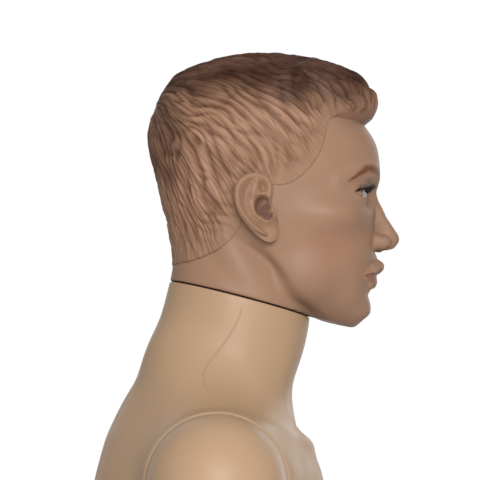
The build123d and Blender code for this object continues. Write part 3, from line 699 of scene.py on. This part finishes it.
# ---------------------------------------------------------------- eyes and lashes
def make_eyeball(name, sign):
    """Polished eyeball with a slightly raised clear front over the iris."""
    bpy.ops.object.select_all(action="DESELECT")
    bpy.ops.mesh.primitive_uv_sphere_add(segments=64, ring_count=40, radius=EYE_RADIUS * MM)
    ball = bpy.context.object
    ball.name = ball.data.name = name
    co = np.zeros(len(ball.data.vertices) * 3)
    ball.data.vertices.foreach_get("co", co)
    co = co.reshape(-1, 3)
    co = np.stack([co[:, 0], -co[:, 2], co[:, 1]], -1)     # the pole looks forward
    unit = co / np.linalg.norm(co, axis=1, keepdims=True)
    off = np.degrees(np.arccos(np.clip(-unit[:, 1], -1, 1)))
    co = unit * MM * (EYE_RADIUS + 0.35 * ramp(31 - off, 0, 22)[:, None])
    point_paint(ball, "off_axis", off / 90)
    co += (sign * EYE[0] * MM, EYE[1] * MM, ARM_AXIS + EYE[2] * MM)
    ball.data.vertices.foreach_set("co", co.astype(np.float32).ravel())
    ball.data.shade_smooth()
    face_out(ball)
    return ball


def make_lashes(name, sign):
    """A fan of curved tapering lashes rooted along the upper lid, over a thin dark strip."""
    rng = np.random.default_rng(17)
    points, faces = [], []
    count = 74
    for k in range(count):
        across = -11.2 + 23.6 * k / (count - 1)
        z = LID_SLANT * across + UPPER_LID * lid_arch(across) - 0.1 + rng.uniform(-0.25, 0.25)
        y = -math.sqrt(max(13.3 ** 2 - across ** 2 - z ** 2, 4))
        root = np.array([across, y + 0.3, z])
        length = 7.2 + 2.0 * math.sin(math.pi * k / (count - 1)) + rng.uniform(-1.0, 1.0)
        length *= 0.8 + 0.3 * k / count
        out = np.array([across * 0.05 + rng.uniform(-0.10, 0.10), -1.0, 0.12 + rng.uniform(-0.22, 0.16)])
        out /= np.linalg.norm(out)
        for step in range(6):
            t = step / 5
            centre = root + out * length * t + np.array([0, 0, 1]) * length * (0.36 * t * t)
            r = 0.42 * (1 - 0.84 * t)
            base = len(points)
            for turn in (math.radians(a) for a in (90, 210, 330)):
                points.append(centre + r * np.array([math.cos(turn), 0.3 * math.sin(turn), math.sin(turn)]))
            if step:
                before = base - 3
                faces += [(before + i, before + (i + 1) % 3, base + (i + 1) % 3, base + i) for i in range(3)]
        last = len(points) - 3
        faces += [(last, last + 1, last + 2), (last - 15, last - 13, last - 14)]
    strip = len(points)
    columns = 40
    for k in range(columns):
        across = -12.8 + 26.0 * k / (columns - 1)
        z = LID_SLANT * across + UPPER_LID * lid_arch(across)
        y = -math.sqrt(max(13.45 ** 2 - across ** 2 - z ** 2, 4))
        for dy, dz in ((-0.55, 0.5), (-0.75, -0.15), (0.6, -0.45), (0.6, 0.5)):
            points.append((across, y + dy, z + dz))
    for k in range(columns - 1):
        a, b = strip + 4 * k, strip + 4 * (k + 1)
        faces += [(a + i, a + (i + 1) % 4, b + (i + 1) % 4, b + i) for i in range(4)]
    faces.append(tuple(strip + i for i in (3, 2, 1, 0)))
    faces.append(tuple(strip + 4 * (columns - 1) + i for i in range(4)))
    points = np.array(points, float)
    x, y = points[:, 0].copy(), points[:, 1].copy()
    points[:, 0] = sign * (x * math.cos(EYE_TURN) - y * math.sin(EYE_TURN))
    points[:, 1] = x * math.sin(EYE_TURN) + y * math.cos(EYE_TURN)
    points += (sign * EYE[0], EYE[1], EYE[2])
    piece = add_piece(name, points, faces)
    face_out(piece)
    return piece


eyes = {side: make_eyeball(f"{side}_eyeball", sign) for side, sign in (("left", 1), ("right", -1))}
lashes = {side: make_lashes(f"{side}_lash_fan", sign) for side, sign in (("left", 1), ("right", -1))}


# ---------------------------------------------------------------- torso and arm stumps
# height: front, back, half width, widest, power
TRUNK = smooth_curve([
    (-560, -89, 104, 161, 8, 2.35), (-536, -90, 106, 163, 8, 2.35), (-490, -93, 112.5, 164.5, 9, 2.35),
    (-430, -94, 109, 160, 7, 2.35), (-365, -90, 91, 149, 1, 2.35), (-295, -89, 76, 137, -4, 2.35),
    (-215, -97, 83, 138, -4, 2.35), (-130, -106, 99, 143, -2, 2.35), (-55, -105, 109, 141, 2, 2.3),
    (4, -90, 107.5, 132, 6, 2.25), (26, -84.5, 103, 120, 9, 2.2), (43, -71.5, 99, 110, 10, 2.2),
    (73, -65, 85, 86, 10, 2.15), (84, -65, 78, 76, 7, 2.1), (95, -67.3, 71, 69, 3, 2.1),
    (105, -71, 67, 65.5, -2, 2.1),
    (116, -75, 62, 63, -6, 2.1), (126, -77.3, 58, 61.5, -10, 2.1), (137, -80, 54.2, 60.5, -13, 2.1),
    (155, -81.8, 48.9, 59.8, -17, 2.1), (190, -79, 40, 59, -20, 2.1), (230, -74, 34, 58, -20, 2.1)], blur=7.0)
SHOULDER = 148.0                        # how far out the torso's arm seams stand


def barrel_size(across):
    """Half depth and half height of the shoulder barrel at a distance from the middle."""
    inside = np.clip(SHOULDER - across, 0, 150)
    return 62 + 0.36 * inside - 0.0013 * inside ** 2, 62 + 0.13 * inside - 0.0004 * inside ** 2


def shoulder_distance(q):
    """A round barrel lying along X that grows into the chest."""
    half_depth, half_height = barrel_size(q[0])
    radius = np.sqrt((q[1] / half_depth) ** 2 + (q[2] / half_height) ** 2) + 1e-9
    across = (radius - 1) * np.sqrt(q[1] ** 2 + q[2] ** 2) / radius
    return np.maximum(across, 55 - q[0])


# centre, radii, height in mm: swells stand out, dents are negative; all on both sides
SWELLS = [
    ((60, -104, -58), (46, 30, 40), 8.0), ((100, -88, -40), (34, 30, 34), 4.0),      # breast muscles
    # collar bones
    ((22, -82, 31), (20, 16, 9), 2.4), ((58, -82, 38), (26, 18, 8), 4.2), ((98, -64, 48), (26, 18, 9), 3.0),
    ((66, 96, -40), (40, 34, 52), 5.5), ((30, 96, -20), (18, 30, 60), 1.5),          # shoulder blades
    ((46, 86, -250), (26, 30, 90), 3.0), ((30, -98, -230), (20, 30, 60), 2.0),       # loins, belly
    # neck muscles
    ((50, -14, 150), (12, 18, 40), 2.6), ((34, -56, 104), (12, 14, 26), 2.4),
    ((16, -72, 76), (9, 12, 18), 1.6),
    ((0, -90, 66), (14, 20, 18), -3.6), ((66, -70, 78), (30, 22, 12), -3.0),         # throat pit, collars
    ((0, -118, -60), (13, 34, 60), -5.0), ((0, -106, -250), (9, 30, 100), -3.0),     # chest and belly line
    ((0, 110, -30), (15, 34, 80), -5.0), ((0, 90, -240), (16, 34, 110), -5.5),       # along the spine
    ((62, -104, -122), (52, 26, 15), -3.5), ((128, -60, -110), (26, 34, 30), -3.0),  # under the breast muscles
    ((0, -98, -352), (6, 14, 7), -5.0), ((96, -96, -450), (26, 24, 50), -2.5),       # navel, groins
]


def torso_body(p):
    """Distance from the torso before it is cut at its seams."""
    ax = np.abs(p[0])
    q = (ax, p[1], p[2])
    barrel = shoulder_distance(q)
    body = soft_min(egg_section(p, TRUNK), barrel, 26)
    # slope of the trapezius from the neck to the shoulder
    body = soft_min(body, tube_chain(q, [(22, 26, 108, 30), (60, 22, 64, 30), (98, 14, 30, 30)]), 26)
    for centre, radii, height in SWELLS:
        body = body - height * np.exp(-sum(((q[i] - centre[i]) / radii[i]) ** 2 for i in range(3)))
    # the barrel's end is round where the arm joins
    plain = ramp(ax, 108, 145) * ramp(p[2], -60, -15)
    return body * (1 - plain) + barrel * plain


def slope(body, p, step=0.6):
    """Numerical gradient of a distance-like function."""
    parts = []
    for axis in range(3):
        d = np.zeros(3)[:, None]
        d[axis] = step
        parts.append((body(p + d) - body(p - d)) / (2 * step))
    return np.array(parts)


def settle(piece, body, rounds=5, most=3.0):
    """Moves every point of a piece onto the surface of a body function, `most` mm a round."""
    count = len(piece.data.vertices)
    co = np.zeros(count * 3)
    piece.data.vertices.foreach_get("co", co)
    p = ((co.reshape(-1, 3) - (0, 0, ARM_AXIS)) / MM).T
    for _ in range(rounds):
        g = slope(body, p)
        move = 0.9 * body(p) / np.maximum((g ** 2).sum(0), 0.15) * g
        p = p - move * np.minimum(1, most / np.maximum(np.sqrt((move ** 2).sum(0)), 1e-9))
    piece.data.vertices.foreach_set("co", (p.T * MM + (0, 0, ARM_AXIS)).astype(np.float32).ravel())
    piece.data.update()


def cut_flat(piece, place, normal, width, lowest):
    """Cuts away what lies beyond a plane and above `lowest`, and closes the cut with a rounded rim."""
    place, normal = Vector(place), Vector(normal).normalized()
    level = place - normal * width
    bpy.ops.object.select_all(action="DESELECT")
    bpy.context.view_layer.objects.active = piece
    piece.select_set(True)
    piece.data.polygons.foreach_set("select", [False] * len(piece.data.polygons))
    piece.data.edges.foreach_set("select", [False] * len(piece.data.edges))
    piece.data.vertices.foreach_set("select", [False] * len(piece.data.vertices))
    for face in piece.data.polygons:
        face.select = face.center.z > lowest
    bpy.ops.object.mode_set(mode="EDIT")
    bpy.ops.mesh.select_mode(type="FACE")
    bpy.ops.mesh.bisect(plane_co=level, plane_no=normal, use_fill=True, clear_outer=True)
    bpy.ops.mesh.select_mode(type="VERT")
    bpy.ops.object.mode_set(mode="OBJECT")
    for point in piece.data.vertices:
        point.select = abs((point.co - level).dot(normal)) < 2e-5 and point.co.z > lowest
    bpy.ops.object.mode_set(mode="EDIT")
    bpy.ops.mesh.remove_doubles(threshold=0.0011)
    bpy.ops.mesh.select_mode(type="FACE")
    steps = np.radians(np.linspace(0, 90, 5))
    for before, now in zip(steps[:-1], steps[1:]):
        bpy.ops.mesh.inset(thickness=width * (math.cos(before) - math.cos(now)),
                           depth=width * (math.sin(now) - math.sin(before)))
    bpy.ops.object.mode_set(mode="OBJECT")


# y and height of the mould's parting line, from the neck seam over the shoulder to the arm seam
PARTING = [(-23, 160), (-20, 148), (-15, 136), (-4, 120), (6, 108), (12, 99), (13, 92), (10, 84), (2, 74)]


def make_parting_bead(sign):
    """The fine raised line that the two halves of the mould leave along the neck's side."""
    count, sides = 120, 8
    line = smooth_curve([(i, *row) for i, row in enumerate(PARTING)], blur=0.5)
    y, z = line(np.linspace(0, len(PARTING) - 1, count))
    start = np.stack([np.zeros_like(y), y, z], -1)
    outwards = np.array([[sign, 0.0, 0.0]])
    reach = np.array([cast(outwards, torso_body, point, 150, 20)[0] for point in start])
    middle = start + np.stack([sign * (reach - 0.25), 0 * y, 0 * z], -1)
    ahead = np.gradient(middle, axis=0)
    ahead /= np.linalg.norm(ahead, axis=1, keepdims=True)
    side = np.cross(ahead, (sign, 0, 0))
    side /= np.linalg.norm(side, axis=1, keepdims=True)
    out = np.cross(side, ahead)
    from_end = np.minimum(np.arange(count), np.arange(count)[::-1])
    width = 0.8 * ramp(from_end, -1, 12)[:, None]
    turns = np.linspace(0, 2 * np.pi, sides, endpoint=False)
    ring = [middle + width * (math.cos(t) * side + math.sin(t) * out) for t in turns]
    net = np.stack(ring, 1).reshape(-1, 3)
    bead = add_piece("parting_bead", np.vstack([net, middle[:1], middle[-1:]]), net_faces(count, sides))
    face_out(bead)
    return bead


def join_onto(piece, others):
    """Joins other pieces into the first one's mesh."""
    bpy.ops.object.select_all(action="DESELECT")
    for other in (*others, piece):
        other.select_set(True)
    bpy.context.view_layer.objects.active = piece
    bpy.ops.object.join()


def rough_trunk(rows=90, columns=72):
    low, high = -560, 210
    rings = np.linspace(low, high, rows)
    front, back, half, widest, _ = (c[:, None] for c in TRUNK(rings))
    turn = np.linspace(0, 2 * np.pi, columns, endpoint=False)[None]
    y = widest + np.sin(turn) * np.where(np.sin(turn) > 0, back - widest, widest - front)
    trunk = np.stack([np.cos(turn) * half, y, np.repeat(rings[:, None], columns, 1)], -1).reshape(-1, 3)
    return add_piece("torso_skin", np.vstack([trunk, (0, 8, low), (0, -20, high)]), net_faces(rows, columns))


def rough_barrel(rows=50, columns=64):
    end = SHOULDER + 14
    along = np.linspace(-end, end, rows)[:, None]
    half_depth, half_height = barrel_size(np.abs(along))
    turn = np.linspace(0, 2 * np.pi, columns, endpoint=False)
    rings = (np.repeat(along, columns, 1), half_depth * np.cos(turn), half_height * np.sin(turn))
    barrel = np.stack(rings, -1)
    points = np.vstack([barrel.reshape(-1, 3), (-end, 0, 0), (end, 0, 0)])
    return add_piece("barrel", points, net_faces(rows, columns))


def make_torso():
    """The rough forms become one skin, settle on the torso's shape and are cut at the seams and hips."""
    torso, barrel = rough_trunk(), rough_barrel()
    face_out(torso)
    face_out(barrel)
    join_onto(torso, [barrel])
    for voxel in (0.007, 0.0034):
        remesh = torso.modifiers.new("remesh", "REMESH")
        remesh.mode, remesh.voxel_size = "VOXEL", voxel
        bpy.ops.object.modifier_apply(modifier="remesh")
        settle(torso, torso_body)
    torso.data.shade_smooth()
    # each cut in metres: a place on it, which way is out, its rim's width and how far down it goes
    seam_normal = (0, -math.sin(NECK_TILT), math.cos(NECK_TILT))
    hips, armpits = ARM_AXIS - 0.536, ARM_AXIS - 0.2
    cuts = [((0, SEAM_MIDDLE[0] * MM, ARM_AXIS + SEAM_MIDDLE[1] * MM), seam_normal, 0.0016, ARM_AXIS),
            ((SHOULDER * MM, 0, 0), (1, 0, 0), 0.0022, armpits),
            ((-SHOULDER * MM, 0, 0), (-1, 0, 0), 0.0022, armpits),
            ((0, 0, hips), (0, 0, -1), 0.0012, 0)]
    for cut in cuts:
        cut_flat(torso, *cut)
    join_onto(torso, [make_parting_bead(sign) for sign in (-1, 1)])
    co = np.zeros(len(torso.data.vertices) * 3)
    torso.data.vertices.foreach_get("co", co)
    x, y, z = (co.reshape(-1, 3) - (0, 0, ARM_AXIS)).T / MM
    neck = math.cos(NECK_TILT) * (z - SEAM_MIDDLE[1]) - math.sin(NECK_TILT) * (y - SEAM_MIDDLE[0])
    # painted shade: the torso darkens inside the arm seams' gaps and the neck seam's gap
    arm = 0.5 * ramp(np.abs(x), SHOULDER - 0.9, SHOULDER - 0.1) * ramp(-np.hypot(y, z), -60.9, -60.0)
    point_paint(torso, "seam", np.maximum(arm, ramp(neck, -0.8, -0.2)))
    return torso


def arm_body(p):
    """Deltoid and upper arm on the +X side, to be cut at the seam and at the stump's end."""
    arm = tube_chain(p, [(118, 0, 0, 59.6), (150, 0, 0, 59.6)])
    arm = soft_min(arm, oval(p, (184, 0, -5), (60, 58.5, 63.5)), 8)
    arm = soft_min(arm, oval(p, (201, 2, -80), (50, 57, 86)), 22)
    level = np.clip((-p[2] - 60) / 126, 0, 1)
    half_width, half_depth, middle = 45.5 - 6.5 * level, 56 - 9 * level, 206 + 3.5 * level
    radius = np.sqrt(((p[0] - middle) / half_width) ** 2 + (p[1] / half_depth) ** 2) + 1e-9
    shaft = (radius - 1) * np.sqrt((p[0] - middle) ** 2 + p[1] ** 2) / radius
    shaft = np.maximum(shaft + 34 * ramp(p[2], -118, 30), p[2] + 12)
    return soft_min(arm, shaft, 16)


ARM_SEAM, STUMP_END = 149.0, -186.0        # where the seam face stands across, and the end's height
# each row of a rounded rim: share of the outline's size, and how far outwards or upwards it stands
SEAM_RIM = [(0.55, 0), (0.93, 0), (0.968, 0.25), (0.986, 0.9)]
END_RIM = [(0.988, -0.35), (0.97, -0.5), (0.945, -0.3), (0.935, 0.6), (0.93, 9.0)]


def make_arm(name, sign):
    """Rows fan round the armpit from the seam to the stump's end, then turn inside the cut edge."""
    fan, straight, columns = 46, 28, 110
    turn = np.concatenate([np.radians(np.linspace(0, 90, fan)), np.full(straight, np.pi / 2)])
    drop = np.concatenate([np.zeros(fan), np.linspace(0, 110, straight + 1)[1:]])
    a = np.linspace(0, 2 * np.pi, columns, endpoint=False)
    pivot = np.array([ARM_SEAM, 0, -76.0])
    points = []
    for angle, fall in zip(turn, drop):
        out = np.array([math.sin(angle), 0, math.cos(angle)])
        centre = pivot + out * (76 - 16 * angle / (np.pi / 2)) + np.array([0.5 * (fall > 0), 0, -fall])
        directions = np.cos(a)[:, None] * np.array([0, 1.0, 0]) + np.sin(a)[:, None] * out
        reach = cast(directions, arm_body, centre, 84, 20, coarse=48)
        points.append(centre + directions * reach[:, None])
    points = np.array(points)
    points[-1, :, 2] = STUMP_END
    first, last = points[0], points[-1]
    seam_centre, end_centre = first.mean(0), last.mean(0)
    start = [seam_centre + (first - seam_centre) * share + (out, 0, 0) for share, out in SEAM_RIM]
    end = [end_centre + (last - end_centre) * share + (0, 0, up) for share, up in END_RIM]
    net = np.concatenate([np.array(start), points[1:], np.array(end)])
    points = np.vstack([net.reshape(-1, 3), seam_centre, end_centre + (0, 0, END_RIM[-1][1])])
    points[:, 0] = np.maximum(points[:, 0], ARM_SEAM)
    points[:, 0] *= sign
    piece = add_piece(name, points, net_faces(len(net), columns))
    face_out(piece)
    return piece


torso = make_torso()
arms = {side: make_arm(f"{side}_arm_skin", sign) for side, sign in (("left", 1), ("right", -1))}


# ---------------------------------------------------------------- finishes
def shade(r, g, b):
    """A colour given in the usual 0 to 255 steps, as the shader wants it."""
    linear = [c / 255 / 12.92 if c <= 10 else ((c / 255 + 0.055) / 1.055) ** 2.4 for c in (r, g, b)]
    return (*linear, 1.0)


class Finish:
    """Builds one procedural finish, step by step; patterns follow Object coordinates."""

    def __init__(self, name, roughness=0.5, metallic=0.0, **sockets):
        self.material = bpy.data.materials.new(name)
        self.material.use_nodes = True
        self.tree = self.material.node_tree
        self.shader = self.tree.nodes["Principled BSDF"]
        self.shader.inputs["Roughness"].default_value = roughness
        self.shader.inputs["Metallic"].default_value = metallic
        for socket, value in sockets.items():
            self.shader.inputs[socket.replace("_", " ")].default_value = value
        self.place = self.node("ShaderNodeTexCoord").outputs["Object"]

    def node(self, kind, **settings):
        made = self.tree.nodes.new(kind)
        for key, value in settings.items():
            setattr(made, key, value)
        return made

    def link(self, out, into):
        self.tree.links.new(out, into)

    def noise(self, scale, detail=3.0, stretch=(1, 1, 1), rough=0.5):
        turn = self.node("ShaderNodeMapping")
        turn.inputs["Scale"].default_value = stretch
        self.link(self.place, turn.inputs["Vector"])
        made = self.node("ShaderNodeTexNoise")
        made.inputs["Scale"].default_value = scale
        made.inputs["Detail"].default_value = detail
        made.inputs["Roughness"].default_value = rough
        self.link(turn.outputs["Vector"], made.inputs["Vector"])
        return made.outputs["Fac"]

    def attribute(self, name):
        return self.node("ShaderNodeAttribute", attribute_name=name).outputs["Fac"]

    def range(self, value, low, high, to_low, to_high):
        made = self.node("ShaderNodeMapRange")
        self.link(value, made.inputs["Value"])
        numbers = {"From Min": low, "From Max": high, "To Min": to_low, "To Max": to_high}
        for socket, number in numbers.items():
            made.inputs[socket].default_value = number
        return made.outputs["Result"]

    def math(self, operation, a, b):
        made = self.node("ShaderNodeMath", operation=operation)
        for socket, value in zip(made.inputs, (a, b)):
            if isinstance(value, (int, float)):
                socket.default_value = value
            else:
                self.link(value, socket)
        return made.outputs["Value"]

    def mix(self, share, a, b):
        made = self.node("ShaderNodeMix", data_type="RGBA")
        for socket, value in zip((made.inputs["Factor"], made.inputs[6], made.inputs[7]), (share, a, b)):
            if isinstance(value, (int, float, tuple)):
                socket.default_value = value
            else:
                self.link(value, socket)
        return made.outputs[2]

    def colour(self, out):
        self.link(out, self.shader.inputs["Base Color"])

    def roughness(self, out):
        self.link(out, self.shader.inputs["Roughness"])

    def bump(self, out, strength, distance):
        made = self.node("ShaderNodeBump")
        made.inputs["Strength"].default_value = strength
        made.inputs["Distance"].default_value = distance
        self.link(out, made.inputs["Height"])
        self.link(made.outputs["Normal"], self.shader.inputs["Normal"])


def skin_finish():
    f = Finish("painted_head_skin", 0.46, Specular_IOR_Level=0.16)
    tone = f.mix(f.range(f.noise(16, 2), 0.35, 0.65, 0, 1), shade(134, 104, 84), shade(140, 109, 88))
    tone = f.mix(f.math("MULTIPLY", f.attribute("blush"), 0.42), tone, shade(136, 90, 75))
    tone = f.mix(f.math("MULTIPLY", f.attribute("shadow"), 0.45), tone, shade(80, 52, 40))
    strokes = f.range(f.noise(420, 2, (0.5, 1.0, 2.6)), 0.38, 0.62, 0.78, 1.0)
    tone = f.mix(f.math("MULTIPLY", f.attribute("brow"), strokes), tone, shade(92, 52, 30))
    tone = f.mix(f.math("MULTIPLY", f.attribute("lips"), 0.7), tone, shade(122, 78, 66))
    tone = f.mix(f.math("MULTIPLY", f.attribute("liner"), 0.92), tone, shade(26, 20, 18))
    f.colour(tone)
    f.roughness(f.range(f.noise(60, 3), 0.3, 0.7, 0.40, 0.52))
    f.bump(f.noise(900, 2), 0.06, 0.0004)
    return f.material


def ear_finish():
    f = Finish("painted_ear_skin", 0.46, Specular_IOR_Level=0.16)
    tone = f.mix(f.range(f.noise(18, 2), 0.35, 0.65, 0, 1), shade(136, 105, 84), shade(142, 110, 88))
    # painted shade: the ear darkens in its bowl, its folds and on its back
    tone = f.mix(f.math("MULTIPLY", f.attribute("cavity_shade"), 0.74), tone, shade(82, 53, 37))
    f.colour(tone)
    f.roughness(f.range(f.noise(60, 3), 0.3, 0.7, 0.40, 0.52))
    f.bump(f.noise(900, 2), 0.06, 0.0004)
    return f.material


def hair_finish():
    f = Finish("painted_hair", 0.48, Specular_IOR_Level=0.11)
    light = f.mix(f.range(f.noise(30, 2), 0.35, 0.65, 0, 1), shade(148, 114, 92), shade(154, 119, 97))
    light = f.mix(f.math("MULTIPLY", f.attribute("thin_edge"), 0.9), light, shade(137, 107, 86))
    # painted shade: the grooves between the strands are coloured darker, on the tan and on the brown
    light = f.mix(f.math("MULTIPLY", f.attribute("groove_shade"), 0.85), light, shade(88, 58, 41))
    dark = f.mix(f.math("MULTIPLY", f.attribute("groove_shade"), 0.8), shade(61, 34, 23), shade(34, 19, 12))
    patch = f.range(f.noise(34, 3), 0.3, 0.7, 0.75, 1.1)
    f.colour(f.mix(f.math("MULTIPLY", f.attribute("brown"), patch), light, dark))
    f.roughness(f.range(f.noise(80, 3), 0.3, 0.7, 0.42, 0.55))
    f.bump(f.noise(1000, 2), 0.06, 0.0004)
    return f.material


def torso_finish():
    f = Finish("moulded_torso", 0.42, Specular_IOR_Level=0.2)
    tone = f.mix(f.range(f.noise(7, 2), 0.35, 0.65, 0, 1), shade(157, 129, 102), shade(162, 133, 106))
    # painted shade in the seam gaps, from the seam attribute
    f.colour(f.mix(f.math("MULTIPLY", f.attribute("seam"), 0.8), tone, shade(52, 38, 28)))
    f.roughness(f.range(f.noise(40, 3), 0.3, 0.7, 0.36, 0.48))
    f.bump(f.noise(700, 3), 0.08, 0.0005)
    return f.material


def eye_finish():
    f = Finish("polished_eye", 0.1, Specular_IOR_Level=0.4, Coat_Weight=0.3, Coat_Roughness=0.04)
    off = f.attribute("off_axis")
    streak = f.range(f.noise(1500, 3, (1, 0.2, 1)), 0.35, 0.65, 0, 1)
    iris = f.mix(streak, shade(70, 92, 112), shade(116, 138, 150))
    iris = f.mix(f.range(off, 0.27, 0.315, 0, 1), iris, shade(28, 34, 42))
    iris = f.mix(f.range(off, 0.135, 0.15, 1, 0), iris, shade(8, 8, 9))
    f.colour(f.mix(f.range(off, 0.315, 0.345, 0, 1), iris, shade(190, 187, 183)))
    return f.material


def plain_finish(name, low, high, scale, roughness, vary=0.06, bump=None, **sockets):
    """Two close colours in fine clouds; bump is the grain's scale, detail, strength and distance."""
    f = Finish(name, roughness, **sockets)
    f.colour(f.mix(f.range(f.noise(scale, 4), 0.3, 0.7, 0, 1), shade(*low), shade(*high)))
    f.roughness(f.range(f.noise(scale * 2.3, 4), 0.3, 0.7, roughness - vary, roughness + vary))
    if bump:
        grain_scale, detail, strength, distance = bump
        f.bump(f.noise(grain_scale, detail), strength, distance)
    return f.material


def board_finish():
    f = Finish("sealed_board", 0.55)
    grain = f.noise(260, 5, (1, 1, 1), 0.7)
    f.colour(f.mix(f.range(grain, 0.3, 0.7, 0, 1), shade(150, 118, 84), shade(186, 154, 116)))
    f.roughness(f.range(grain, 0.3, 0.7, 0.48, 0.62))
    f.bump(grain, 0.25, 0.0004)
    return f.material


def steel_plate_finish():
    f = Finish("satin_base_plate", 0.32, 1.0)
    brushed = f.noise(90, 4, (1, 14, 1), 0.6)
    f.colour(f.mix(f.range(brushed, 0.3, 0.7, 0, 1), shade(176, 178, 182), shade(206, 208, 211)))
    f.roughness(f.range(brushed, 0.3, 0.7, 0.24, 0.38))
    f.bump(brushed, 0.08, 0.0002)
    return f.material


FINISHES = {
    "torso_plastic": torso_finish(),
    "head_vinyl": skin_finish(),
    "board": board_finish(),
    "chrome_tube": plain_finish("polished_chrome", (214, 216, 219), (226, 228, 230), 20, 0.09, 0.03,
                                Metallic=1.0),
    "base_steel": steel_plate_finish(),
    "zinc_steel": plain_finish("zinc_plate", (170, 172, 174), (198, 200, 200), 120, 0.34, 0.08,
                               (400, 3, 0.1, 0.0002), Metallic=1.0),
    "spring_steel": plain_finish("spring_steel", (92, 94, 98), (118, 120, 124), 150, 0.35, 0.08,
                                 Metallic=1.0),
    "black_plastic": plain_finish("black_nylon", (20, 20, 21), (32, 32, 33), 90, 0.42, 0.07,
                                  (1100, 3, 0.2, 0.0003)),
    "nylon": plain_finish("natural_nylon", (214, 209, 196), (228, 224, 213), 60, 0.45, 0.06,
                          (700, 2, 0.1, 0.0002)),
    "foot_rubber": plain_finish("foot_rubber", (24, 24, 25), (38, 38, 39), 120, 0.75, 0.08,
                                (900, 3, 0.3, 0.0004)),
    "eye_acrylic": eye_finish(),
    "lash_fibre": plain_finish("lash_fibre", (12, 10, 10), (26, 22, 20), 400, 0.5, 0.08),
}
for entry in frame["record"]["subparts"]:
    node = nodes[entry["node"]]
    node.data.materials.clear()
    node.data.materials.append(FINISHES[entry["material_slot"]])

finish_piece(head_skin, "head", FINISHES["head_vinyl"], ["head_shell"])
ear_skin = ear_finish()
for side in ("left", "right"):
    finish_piece(ears[side], "head", ear_skin)
    finish_piece(eyes[side], "head", FINISHES["eye_acrylic"], [f"{side}_eye"])
    finish_piece(lashes[side], "head", FINISHES["lash_fibre"], [f"{side}_eyelashes"])
    finish_piece(arms[side], f"{side}_arm", FINISHES["torso_plastic"],
                 [f"{side}_arm_shell"])
finish_piece(hair, "head", hair_finish())
finish_piece(torso, "torso", FINISHES["torso_plastic"], ["torso_shell"])

# ---------------------------------------------------------------- floor
bpy.ops.object.select_all(action="DESELECT")
bpy.ops.mesh.primitive_plane_add(size=14, location=(0, 0, 0))
floor = bpy.context.object
floor.name = floor.data.name = "floor"
paving = Finish("pale_floor", 0.7)
clouds = paving.range(paving.noise(3, 3), 0.3, 0.7, 0, 1)
paving.colour(paving.mix(clouds, shade(238, 238, 236), shade(243, 243, 241)))
floor.data.materials.append(paving.material)

# a glowing white paper wall far behind the mannequin, beyond where any view is taken from
bpy.ops.object.select_all(action="DESELECT")
bpy.ops.mesh.primitive_plane_add(size=20, location=(18.0, 0, 8.0), rotation=(0, math.radians(-90), 0))
wall = bpy.context.object
wall.name = wall.data.name = "paper_wall"
paper = Finish("white_paper", 0.9, Emission_Strength=1.0, Emission_Color=(1, 1, 1, 1))
clouds = paper.range(paper.noise(2, 2), 0.3, 0.7, 0, 1)
paper.colour(paper.mix(clouds, shade(20, 20, 20), shade(24, 24, 24)))
wall.data.materials.append(paper.material)
